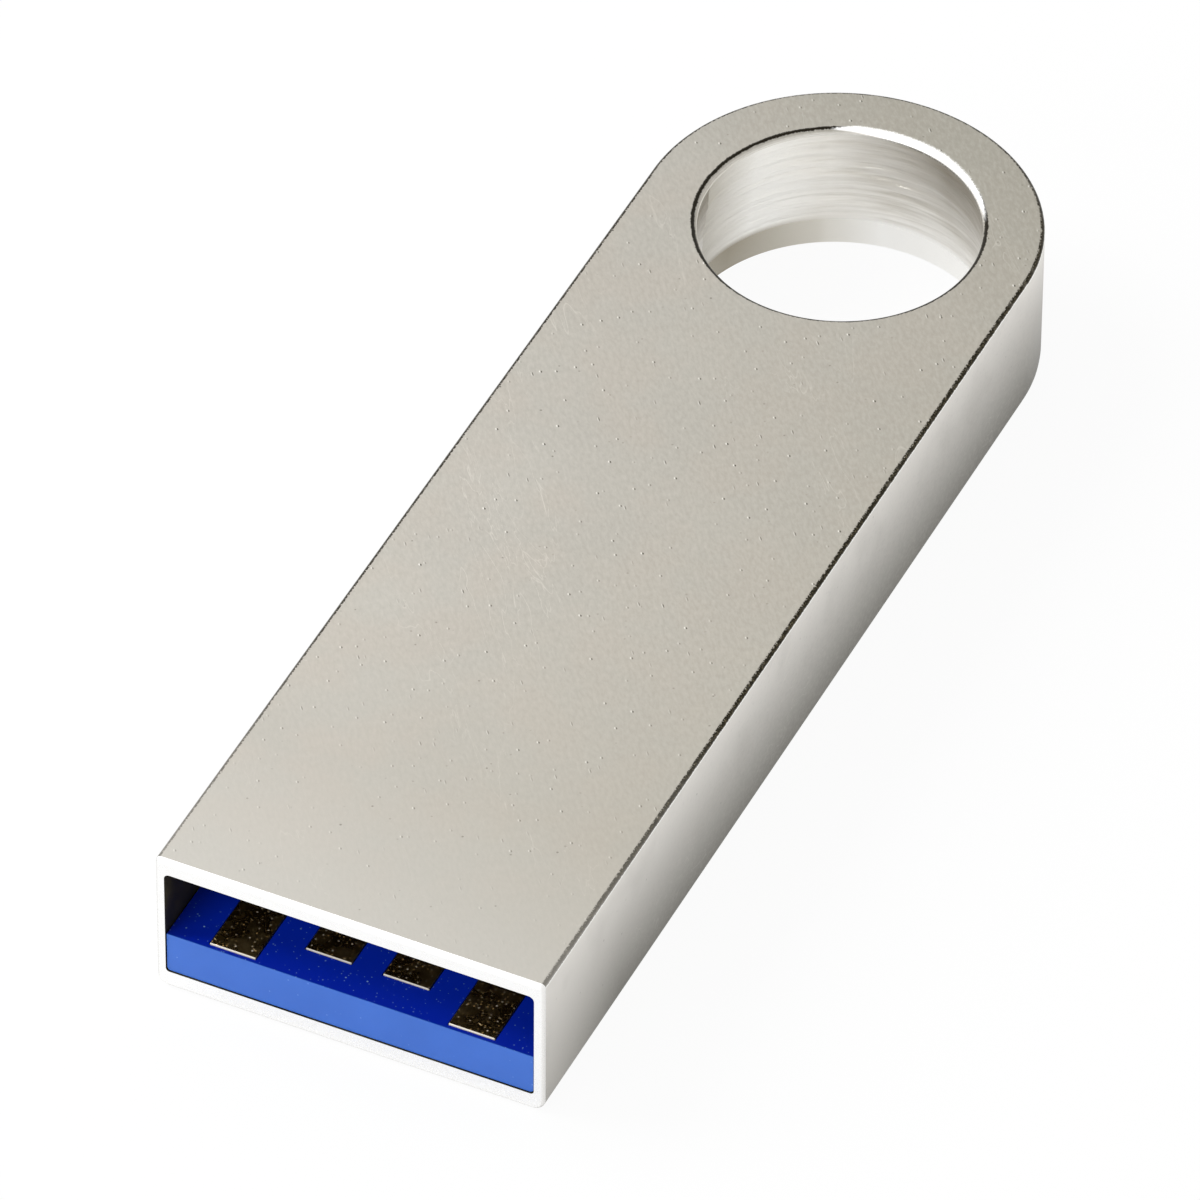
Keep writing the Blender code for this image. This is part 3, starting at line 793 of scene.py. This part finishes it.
def nickel_side_tone(nodes, case):
    """The sides' tone: painted light at the top edge, painted shade towards the floor and painted light at
    the mouth end, with a faint smudge.
    """
    tone = nodes.blend(nodes.between(case.height, case.top - 0.2, 0.2), SIDE_NICKEL_LIT, SIDE_NICKEL_SHADED)
    lit_mouth_end = nodes.between(case.along, case.mouth + 5.0, case.mouth + 0.5, 0.0, 0.45)
    tone = nodes.blend(lit_mouth_end, tone, SIDE_NICKEL_LIT)
    smudge = nodes.noise(nodes.place(shift=(0.0, 1.6, 2.0)), 0.55)
    return nodes.blend(nodes.between(smudge, 0.55, 0.75, 0.0, 0.14), tone, SIDE_NICKEL_SMUDGE)


def nickel_marks(nodes, case, specks, flat_specks):
    """Masks of the painted highlights beside the pits and nicks, and of the pits and nicks painted dark as
    shade.
    """

    def wiped(scale, per_mm, size, share, shift=(0, 0, 0)):
        place = nodes.place(turn=WIPE_TURN, scale=scale, shift=shift)
        return use_group(nodes, flat_specks, Place=place, Per_mm=per_mm, Size=size, Share=share)

    pits = wiped((0.65, 1.15, 1.0), 1.5, 0.055, 0.50)
    # The painted highlights of the pits and nicks: the same spots, shifted a little.
    pit_highlight_spots = wiped((0.65, 1.15, 1.0), 1.5, 0.058, 0.50, shift=(0.012, 0.050, 0.0))
    nicks = wiped((0.30, 1.25, 1.0), 1.6, 0.052, 0.32)
    nick_highlight_spots = wiped((0.30, 1.25, 1.0), 1.6, 0.055, 0.32, shift=(0.0, 0.040, 0.0))
    level = nodes.times(nodes.between(nodes.size(case.upward), 0.85, 0.97), case.busy)
    pit_highlights = nodes.times(nodes.larger(pit_highlight_spots, nodes.times(nick_highlight_spots, 0.6)), level)
    shaded_pits = nodes.times(nodes.larger(pits, nodes.times(nicks, 0.8)), level)
    side_pits = use_group(nodes, specks, Place=case.here, Per_mm=1.8, Size=0.08, Share=0.6)
    return pit_highlights, nodes.larger(shaded_pits, nodes.times(side_pits, 0.5))


def outer_edge_shade(nodes, case):
    """Mask of the painted shade, a frayed dark line along the top's rounded outer edge, fainter near the
    mouth.
    """
    tilt = nodes.plus(case.upward, nodes.between(case.fine, 0.3, 0.7, -0.11, 0.11))
    line = nodes.times(nodes.between(tilt, 1.02, 0.97), nodes.between(tilt, 0.34, 0.46))
    line = nodes.times(line, nodes.between(case.upward, 0.9995, 0.99))
    line = nodes.times(line, nodes.between(case.coarse, 0.30, 0.45, 0.90, 1.0))
    fainter_at_mouth = nodes.between(case.along, case.mouth + 0.3, case.mouth + 12.0, 0.55, 1.0)
    return nodes.times(line, fainter_at_mouth, case.upper)


def hole_edge_shade_line(nodes, case):
    """Mask of the painted shade, a thin dark line round the ring hole, further out on its far side."""
    far_side = nodes.maths("COSINE", nodes.minus(case.turn, math.radians(125.0)))
    line_reach = nodes.between(far_side, -0.4, 0.6, case.hole + 0.090, case.hole + 0.155)
    wander = nodes.between(case.coarse, 0.3, 0.7, -0.008, 0.008)
    off_line = nodes.minus(nodes.plus(case.reach, wander), line_reach)
    frayed = nodes.plus(off_line, nodes.between(case.fine, 0.3, 0.7, -0.018, 0.018))
    return nodes.between(nodes.size(frayed), 0.072, 0.046)


def hole_edge_highlight(nodes, case):
    """Mask of the painted highlight on the ring hole's rounded edge."""
    highlight = nodes.times(case.arc(26.0, 70.0), case.arc(119.0, 108.0))
    highlight_reach = nodes.between(highlight, 0.0, 1.0, case.hole + 0.09, case.hole + 0.25)
    frayed_reach = nodes.plus(case.reach, nodes.between(case.fine, 0.3, 0.7, -0.03, 0.03))
    spread = nodes.minus(highlight_reach, frayed_reach)
    low_end = case.arc(92.0, 118.0, 0.12, 0.80)
    above_low = nodes.between(nodes.minus(case.upward, low_end), 0.0, 0.14)
    line = nodes.times(nodes.between(spread, -0.05, 0.03), above_low)
    return nodes.times(line, nodes.between(highlight, 0.02, 0.30))


def shade_under_hole_highlight(nodes, case):
    """Mask of the painted shade, a thin dark line between the highlit edge and the wall of the hole."""
    line = nodes.times(nodes.between(case.upward, 0.0, 0.06), nodes.between(case.upward, 0.36, 0.22))
    span = nodes.times(case.arc(0.0, 25.0), case.arc(112.0, 80.0, 0.0, 0.8))
    return nodes.times(line, span, nodes.between(case.fine, 0.35, 0.55, 0.5, 1.0))


def satin_nickel(specks, flat_specks, scratches):
    """Bead-blasted, nickel plated casting: a fine grain, small bumps and pits, a few faint scratches, with
    painted light and shade on its faces, edges and pits.
    """
    material, nodes, shader = start_material("satin_nickel", Metallic=1.0)
    case = NickelPlace(nodes)
    side = nodes.between(nodes.size(case.upward), 0.75, 0.35)
    tone = nodes.blend(side, nickel_top_tone(nodes, case), nickel_side_tone(nodes, case))

    grain_place = nodes.place(turn=WIPE_TURN, scale=(0.45, 1.0, 1.0))
    grain = nodes.noise(grain_place, 9.0, detail=4.0, roughness=0.62)
    lighter = nodes.times(nodes.between(grain, 0.45, 0.80, 0.0, 0.16), case.busy)
    tone = nodes.blend(lighter, tone, GRAIN_LIGHT)
    darker = nodes.times(nodes.between(grain, 0.45, 0.20, 0.0, 0.16), case.busy)
    tone = nodes.blend(darker, tone, GRAIN_DARK)

    pit_highlights, shaded_pits = nickel_marks(nodes, case, specks, flat_specks)
    hair_place = nodes.place(turn=WIPE_TURN, scale=(0.22, 1.2, 1.0))
    hair = nodes.times(use_group(nodes, scratches, Place=hair_place, Share=0.5), case.busy)
    # Painted highlights beside the pits and nicks, then the pits and nicks painted dark as shade.
    tone = nodes.blend(nodes.times(pit_highlights, 0.65), tone, PIT_HIGHLIGHT)
    tone = nodes.blend(nodes.times(shaded_pits, 0.95), tone, PIT_SHADE)
    tone = nodes.blend(nodes.times(hair, 0.40), tone, SCRATCH_LIGHT)

    # A painted highlight along the top's rounded outer edges.
    lit_line = nodes.times(nodes.between(case.upward, 0.06, 0.16), nodes.between(case.upward, 0.40, 0.30))
    tone = nodes.blend(nodes.times(lit_line, case.upper), tone, EDGE_HIGHLIGHT)
    on_hole_edge = nodes.times(nodes.between(case.reach, case.hole + 0.45, case.hole + 0.41), case.upper)
    # Painted shade: dark lines along the top's rounded outer edge and round the ring hole.
    edge_shade = nodes.blend(nodes.between(case.fine, 0.50, 0.68), EDGE_SHADE_DARK, EDGE_SHADE_BROWN)
    edge_shade_lines = nodes.blend(on_hole_edge, outer_edge_shade(nodes, case), hole_edge_shade_line(nodes, case))
    tone = nodes.blend(edge_shade_lines, tone, nodes.blend(on_hole_edge, edge_shade, HOLE_EDGE_SHADE))
    # A painted highlight on the ring hole's rounded edge, with painted shade under it.
    highlight = nodes.times(hole_edge_highlight(nodes, case), on_hole_edge)
    tone = nodes.blend(highlight, tone, HOLE_EDGE_HIGHLIGHT)
    tone = nodes.blend(nodes.times(shade_under_hole_highlight(nodes, case), on_hole_edge), tone, edge_shade)
    nodes.paint(shader, tone, nodes.between(grain, 0.3, 0.7, 0.36, 0.40))

    relief = nodes.minus(nodes.times(grain, 0.3), shaded_pits)
    nodes.bump(shader, nodes.minus(relief, nodes.times(hair, 0.4)), 0.5, 0.012)
    return material


def bright_metal(specks):
    """The bare, ground metal of the mouth's rim, with painted shade where it rounds away."""
    material, nodes, shader = start_material("bright_rim", Metallic=1.0)
    here = nodes.place()
    grain = nodes.noise(here, 5.0)
    facing = nodes.facing()
    ground = nodes.blend(nodes.between(grain, 0.3, 0.7), RIM_DARK, RIM_LIGHT)
    # Painted shade on the rim's rounding: on the left, on the right and on the underside.
    rounding = nodes.between(facing["Y"], -0.97, -0.75)
    left = nodes.times(rounding, nodes.between(facing["X"], -0.15, -0.5))
    ground = nodes.blend(left, ground, RIM_SHADE_LEFT)
    right = nodes.times(rounding, nodes.between(facing["X"], 0.15, 0.6))
    ground = nodes.blend(right, ground, RIM_SHADE_RIGHT)
    low = nodes.times(rounding, nodes.between(facing["Z"], -0.15, -0.5))
    nodes.paint(shader, nodes.blend(low, ground, RIM_SHADE_LOW), nodes.between(grain, 0.3, 0.7, 0.26, 0.29))
    nicks = use_group(nodes, specks, Place=here, Per_mm=2.0, Size=0.1, Share=0.15)
    nodes.bump(shader, nicks, 0.2, 0.01)
    return material


def bore_wall_tone(nodes, case, streaks):
    """The wall's tone: streaked, calm at the back, with a painted sheen and painted shade on the left and a
    brownish painted shade high on the right.
    """
    drawn = nodes.blend(streaks, BORE_STREAK_DARK, BORE_STREAK_LIGHT)
    drawn = nodes.blend(case.arc(95.0, 128.0, 0.15, 0.75), drawn, BORE_CALM)
    broad = nodes.noise(nodes.place(scale=(0.28, 0.28, 0.55)), 1.0)
    drawn = nodes.blend(nodes.between(broad, 0.35, 0.62, 0.0, 0.5), drawn, BORE_BROAD)
    # A painted sheen on the left of the wall, and painted shade beyond it.
    sheen = nodes.times(case.arc(122.0, 140.0), case.arc(172.0, 150.0))
    drawn = nodes.blend(nodes.times(sheen, 0.85), drawn, BORE_SHEEN)
    drawn = nodes.blend(case.arc(150.0, 185.0, 0.0, 0.7), drawn, BORE_SHADED)
    # Brownish painted shade high on the right of the wall.
    up_the_wall = nodes.between(case.height, 1.8, 4.4, 0.05, 0.88)
    return nodes.blend(nodes.times(case.arc(118.0, 66.0), up_the_wall), drawn, BORE_UPPER_SHADE)


def bore_metal():
    """The ring hole's wall: bare cast metal, drawn in long flat streaks, over a smooth flared foot with
    painted shade on its left and painted light towards the back and right.
    """
    material, nodes, shader = start_material("bore_metal", Metallic=1.0)
    case = CasePlace(nodes)
    flare = RING_FLARE_HEIGHT / MM
    wall = nodes.between(case.height, flare - 0.10, flare + 0.12)
    streak_place = nodes.place(turn=(0.05, 0.06, 0.0), scale=(0.13, 0.13, 2.6))
    streaks = nodes.noise(streak_place, 2.2, detail=5.0, roughness=0.62, distortion=0.3)
    streaks = nodes.between(streaks, 0.33, 0.67)
    # The foot's painted shade on the left, turning to painted light towards the back and right.
    foot = nodes.blend(case.arc(160.0, 118.0), FOOT_SHADE, FOOT_HALF_SHADE)
    foot = nodes.blend(case.arc(122.0, 98.0), foot, FOOT_LIT)
    tone = nodes.blend(wall, foot, bore_wall_tone(nodes, case, streaks))
    nodes.paint(shader, tone, nodes.between(wall, 0.0, 1.0, 0.26, 0.36))
    nodes.bump(shader, nodes.times(streaks, wall), 0.6, 0.03)
    return material


def cavity_metal(specks):
    """The dull, very dark metal inside the mouth."""
    material, nodes, shader = start_material("cavity_metal", Metallic=1.0)
    here = nodes.place()
    stain = nodes.noise(here, 0.8, detail=3.0)
    tone = nodes.blend(nodes.between(stain, 0.3, 0.7), (0.10, 0.088, 0.035), (0.16, 0.140, 0.065))
    nodes.paint(shader, tone, nodes.between(stain, 0.3, 0.7, 0.45, 0.6))
    dust = use_group(nodes, specks, Place=here, Per_mm=5.0, Size=0.12, Share=0.2)
    nodes.bump(shader, dust, 0.3, 0.02)
    return material


def blue_plastic(specks, flat_specks):
    """Glossy blue moulding with a faint orange peel and pale dust; its top is painted as shaded, its front as
    lit, with a painted highlight on the front's top edge.
    """
    material, nodes, shader = start_material("blue_plastic", IOR=1.5)
    here = nodes.place()
    facing = nodes.facing()
    cloud = nodes.noise(here, 0.6)
    along = nodes.split(here)["Y"]
    front = tongue_low.y / MM
    # The top is painted in a shaded deep blue, darkest near its front edge; the front face is painted paler,
    # as lit.
    top_shade = nodes.blend(nodes.between(along, front, front + 1.8), BLUE_TOP_SHADE_DARK, BLUE_TOP_SHADE_LIGHT)
    pale = nodes.blend(nodes.between(cloud, 0.3, 0.7), BLUE_FRONT_LIT_DARK, BLUE_FRONT_LIT_LIGHT)
    blue = nodes.blend(nodes.between(along, front + 0.04, front), top_shade, pale)
    # A painted highlight along the front's top edge.
    lip_highlight = nodes.times(nodes.between(facing["Y"], -0.15, -0.4), nodes.between(facing["Z"], 0.15, 0.4))
    blue = nodes.blend(nodes.times(lip_highlight, 0.5), blue, BLUE_LIP_HIGHLIGHT)
    fine_dust = use_group(nodes, flat_specks, Place=here, Per_mm=4.5, Size=0.095, Share=0.38)
    grit_place = nodes.place(shift=GRIT_SHIFT)
    grit = use_group(nodes, flat_specks, Place=grit_place, Per_mm=1.6, Size=0.055, Share=0.5)
    top_dust = nodes.larger(nodes.times(fine_dust, 0.7), grit)
    top_dust = nodes.times(top_dust, nodes.between(facing["Z"], 0.8, 0.95))
    front_dust = use_group(nodes, specks, Place=here, Per_mm=3.4, Size=0.10, Share=0.6)
    dust = nodes.larger(top_dust, nodes.times(front_dust, 0.7))
    nodes.paint(shader, nodes.blend(dust, blue, BLUE_DUST), nodes.between(cloud, 0.3, 0.7, 0.30, 0.38))
    peel = nodes.noise(here, 6.0)
    nodes.bump(shader, nodes.plus(nodes.times(peel, 0.3), dust), 0.25, 0.01)
    return material


def gold_plate(flat_specks):
    """Gold plated contacts, rubbed and speckled, with a painted highlight along their rounded front edges."""
    material, nodes, shader = start_material("gold_plate", Metallic=1.0)
    here = nodes.place()
    facing = nodes.facing()
    wear = nodes.noise(here, 1.6, detail=4.0, roughness=0.6)
    gold = nodes.blend(nodes.between(wear, 0.35, 0.65), GOLD_DARK, GOLD_LIGHT)
    level = nodes.between(nodes.size(facing["Z"]), 0.75, 0.90)
    patch = nodes.between(nodes.noise(here, 1.3), 0.36, 0.58, 0.15, 1.0)
    fine_dust = use_group(nodes, flat_specks, Place=here, Per_mm=6.0, Size=0.20, Share=0.55)
    fine_dust = nodes.times(fine_dust, patch, level)
    grit_place = nodes.place(shift=GRIT_SHIFT)
    grit = use_group(nodes, flat_specks, Place=grit_place, Per_mm=4.0, Size=0.15, Share=0.6)
    grit = nodes.times(grit, level)
    rub_place = nodes.place(turn=(0.0, 0.0, 0.5), scale=(0.30, 1.3, 1.0))
    rub = use_group(nodes, flat_specks, Place=rub_place, Per_mm=3.2, Size=0.09, Share=0.30)
    rub = nodes.times(rub, level)
    for mask, colour in ((fine_dust, GOLD_DUST), (grit, GOLD_GRIT), (rub, GOLD_RUBBED)):
        gold = nodes.blend(mask, gold, colour)
    dust = nodes.larger(nodes.larger(fine_dust, grit), rub)
    mouth = mouth_y / MM
    at_mouth = nodes.between(nodes.split(here)["Y"], mouth + 3.0, mouth + 2.0)
    # A painted highlight, not metallic, along the pads' rounded front edges.
    front_edge_highlight = nodes.times(nodes.between(facing["Y"], -0.2, -0.5), at_mouth)
    gold = nodes.blend(front_edge_highlight, gold, GOLD_EDGE_HIGHLIGHT)
    nodes.paint(shader, gold, nodes.between(wear, 0.3, 0.7, 0.22, 0.36))
    dust_and_highlight = nodes.larger(dust, front_edge_highlight)
    nodes.give(shader.inputs["Metallic"], nodes.between(dust_and_highlight, 0.0, 1.0, 1.0, 0.0))
    nodes.bump(shader, nodes.plus(nodes.times(wear, 0.4), dust), 0.5, 0.015)
    return material


def start_inner(name, dark, light, roughness, metallic=0.0, scale=4.0):
    """A mottled finish for a piece inside the case, and the parts that its details build on."""
    material, nodes, shader = start_material(name, Metallic=metallic)
    mottle = nodes.noise(nodes.place(), scale, detail=3.0)
    tone = nodes.blend(nodes.between(mottle, 0.3, 0.7), dark, light)
    nodes.paint(shader, tone, nodes.between(mottle, 0.3, 0.7, roughness - 0.05, roughness + 0.05))
    bump = nodes.bump(shader, mottle, 0.2, 0.01)
    return material, nodes, shader, tone, bump


def chip_package(node):
    """Black moulded package with a round pin-one dimple in a corner."""
    low, high = (corner / MM for corner in corners(node))
    material, nodes, shader, tone, bump = start_inner(node + "_package", *BLACK_PACKAGE, 0.55, scale=12.0)
    radius = min(high.x - low.x, high.y - low.y) * 0.06
    spot = nodes.split(nodes.place())
    flat = nodes.add("ShaderNodeCombineXYZ", {"X": spot["X"], "Y": spot["Y"]}).outputs[0]
    corner = (low.x + radius * 2.4, high.y - radius * 2.4, 0.0)
    away = nodes.add("ShaderNodeVectorMath", {0: flat, 1: corner}, operation="DISTANCE").outputs["Value"]
    dimple = nodes.between(away, radius, radius * 0.7)
    nodes.give(shader.inputs["Base Color"], nodes.blend(dimple, tone, (0.05, 0.05, 0.052)))
    nodes.give(bump.inputs["Height"], nodes.minus(1.0, dimple))
    return material


def tinned_part(node, dark, light, roughness):
    """A small soldered part: a fired body between two tinned ends."""
    low, high = (corner / MM for corner in corners(node))
    material, nodes, shader, tone, bump = start_inner(node + "_finish", dark, light, roughness, scale=6.0)
    axis = 0 if high.x - low.x > high.y - low.y else 1
    cap = (high[axis] - low[axis]) * 0.22
    along = nodes.split(nodes.place())[axis]
    near_end = nodes.between(along, low[axis] + cap, low[axis] + cap * 0.9)
    far_end = nodes.between(along, high[axis] - cap, high[axis] - cap * 0.9)
    tin = nodes.larger(near_end, far_end)
    nodes.give(shader.inputs["Base Color"], nodes.blend(tin, tone, TIN))
    nodes.give(shader.inputs["Metallic"], nodes.between(tin, 0.0, 1.0))
    return material


def green_board():
    """Solder mask over copper tracks."""
    material, nodes, shader, tone, bump = start_inner("green_board", *GREEN_MASK, 0.35)
    here = nodes.place()
    bricks = {"Vector": here, "Scale": 1.0, "Mortar Size": 0.06, "Brick Width": 2.3, "Row Height": 0.55}
    tracks = nodes.add("ShaderNodeTexBrick", bricks, offset=0.37).outputs["Fac"]
    shown = nodes.between(nodes.noise(here, 0.7), 0.45, 0.55)
    level = nodes.between(nodes.size(nodes.facing()["Z"]), 0.8, 0.95)
    tracks = nodes.times(tracks, shown, level)
    nodes.give(shader.inputs["Base Color"], nodes.blend(tracks, tone, (0.05, 0.30, 0.12)))
    nodes.give(bump.inputs["Height"], tracks)
    return material


def repaint(node, material):
    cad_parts[node].material_slots[0].material = material


# -------- the studio


def white_for_viewers(nodes):
    """1 where a camera, a mirror or glass looks straight at the surface."""
    path = nodes.add("ShaderNodeLightPath")
    seen = nodes.larger(path.outputs["Is Camera Ray"], path.outputs["Is Glossy Ray"])
    return nodes.larger(seen, path.outputs["Is Transmission Ray"])


def make_floor():
    bpy.ops.mesh.primitive_plane_add(size=3.0, location=(0, 0, -FLOOR_DROP))
    floor = settle(named("floor"))
    material, nodes, shader = start_material("white_paper", Roughness=0.9, Base_Color=(0.92, 0.92, 0.92))
    glow = nodes.add("ShaderNodeEmission", {"Color": (1, 1, 1), "Strength": 1.0})
    path = nodes.add("ShaderNodeLightPath")
    to_camera = nodes.times(path.outputs["Is Camera Ray"], FLOOR_GLOW_TO_CAMERA)
    to_metal = nodes.times(path.outputs["Is Glossy Ray"], FLOOR_GLOW_TO_METAL)
    share = nodes.larger(nodes.larger(to_camera, to_metal), path.outputs["Is Transmission Ray"])
    mixed = nodes.add("ShaderNodeMixShader", {0: share, 1: shader.outputs[0], 2: glow.outputs[0]})
    below = nodes.add("ShaderNodeNewGeometry").outputs["Backfacing"]
    clear = nodes.add("ShaderNodeBsdfTransparent")
    mixed = nodes.add("ShaderNodeMixShader", {0: below, 1: mixed.outputs[0], 2: clear.outputs[0]})
    nodes.give(material.node_tree.nodes["Material Output"].inputs["Surface"], mixed.outputs[0])
    material.cycles.emission_sampling = "NONE"
    floor.data.materials.append(material)


def make_world():
    world = bpy.data.worlds.new("studio")
    bpy.context.scene.world = world
    world.use_nodes = True
    nodes = Nodes(world.node_tree)
    fill = world.node_tree.nodes["Background"]
    nodes.give(fill.inputs["Color"], (1, 1, 1))
    nodes.give(fill.inputs["Strength"], WORLD_FILL)
    white = nodes.add("ShaderNodeBackground", {"Color": (1, 1, 1), "Strength": 1.0})
    share = white_for_viewers(nodes)
    mixed = nodes.add("ShaderNodeMixShader", {0: share, 1: fill.outputs[0], 2: white.outputs[0]})
    nodes.give(world.node_tree.nodes["World Output"].inputs["Surface"], mixed.outputs[0])


def add_softbox(name, place, aim, size, power):
    lamp = bpy.data.lights.new(name, "AREA")
    lamp.shape = "RECTANGLE"
    lamp.size, lamp.size_y = size
    lamp.energy = power
    box = link(bpy.data.objects.new(name, lamp))
    box.location = place
    box.rotation_euler = (Vector(place) - Vector(aim)).to_track_quat("Z", "Y").to_euler()


FLOOR_DROP = 0.02 * MM
FLOOR_GLOW_TO_CAMERA = 0.94
FLOOR_GLOW_TO_METAL = 0.6
WORLD_FILL = 0.5
LEFT_SOFTBOX_POWER = 1.0
FRONT_SOFTBOX_POWER = 0.35
BACK_SOFTBOX_POWER = 0.02

# The photograph's view: a long lens from the front, a little to the right, well above.
VIEW_AZIMUTH = math.radians(25.04)
VIEW_ELEVATION = math.radians(42.58)
VIEW_ROLL = math.radians(0.44)
VIEW_DISTANCE = 406.0 * MM
VIEW_LENS = 417.8
VIEW_ACROSS = -1.03 * MM
VIEW_UP = -0.52 * MM
VIEW_CENTRE = Vector((0.0, mouth_y + 19.0 * MM, 2.2 * MM))


def make_camera():
    """A camera that looks at the drive's middle from the photograph's side, with no shift."""
    level_back = Vector((math.sin(VIEW_AZIMUTH), -math.cos(VIEW_AZIMUTH), 0.0))
    back = level_back * math.cos(VIEW_ELEVATION) + Vector((0, 0, math.sin(VIEW_ELEVATION)))
    right = (-back).cross(Vector((0, 0, 1))).normalized()
    up = right.cross(-back)
    level_right = right * math.cos(VIEW_ROLL) + up * math.sin(VIEW_ROLL)
    level_up = up * math.cos(VIEW_ROLL) - right * math.sin(VIEW_ROLL)
    data = bpy.data.cameras.new("camera")
    data.lens = VIEW_LENS
    data.sensor_width = 36.0
    data.clip_start = 0.01
    data.clip_end = 10.0
    camera = link(bpy.data.objects.new("camera", data))
    spot = VIEW_CENTRE + back * VIEW_DISTANCE + level_right * VIEW_ACROSS + level_up * VIEW_UP
    turn = Matrix((level_right, level_up, back)).transposed()
    camera.matrix_world = Matrix.Translation(spot) @ turn.to_4x4()
    bpy.context.scene.camera = camera


def main():
    specks = specks_group("specks", "3D")
    flat_specks = specks_group("flat_specks", "2D")
    scratches = scratches_group()
    nickel = satin_nickel(specks, flat_specks, scratches)
    cavity = cavity_metal(specks)
    blue = blue_plastic(specks, flat_specks)
    gold = gold_plate(flat_specks)

    make_case(nickel, cavity, bright_metal(specks), bore_metal())
    make_tongue(blue)
    make_flat_contacts(gold)
    make_springs(gold)

    repaint("spring_contact_block", blue)
    for number in range(1, 6):
        repaint(f"superspeed_tail_{number}", gold)
    repaint("circuit_board", green_board())
    for node in ("flash_memory_chip", "controller_chip"):
        repaint(node, chip_package(node))
    repaint("clock_crystal", start_inner("crystal_can", *CRYSTAL_CAN, 0.3, metallic=1.0)[0])
    repaint("power_inductor", tinned_part("power_inductor", *GREY_FERRITE, 0.6))
    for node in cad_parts:
        if "capacitor" in node:
            repaint(node, tinned_part(node, *TAN_CERAMIC, 0.5))
        elif "resistor" in node:
            repaint(node, tinned_part(node, *BLACK_RESISTOR, 0.45))
    repaint("board_end_holder", start_inner("black_plastic", *BLACK_PLASTIC, 0.5)[0])
    repaint("foam_adhesive_pad", start_inner("white_foam", *WHITE_FOAM, 0.9, scale=8.0)[0])

    make_floor()
    make_world()
    add_softbox("left_softbox", (-0.26, -0.02, 0.22), (0, 0, 0), (0.22, 0.22), LEFT_SOFTBOX_POWER)
    add_softbox("back_softbox", (-0.105, 0.128, 0.176), (-0.01, -0.02, 0), (0.07, 0.07), BACK_SOFTBOX_POWER)
    add_softbox("front_softbox", (-0.12, -0.30, 0.14), (0, 0, 0), (0.20, 0.12), FRONT_SOFTBOX_POWER)
    make_camera()
    bpy.context.scene.view_settings.view_transform = "Standard"


main()
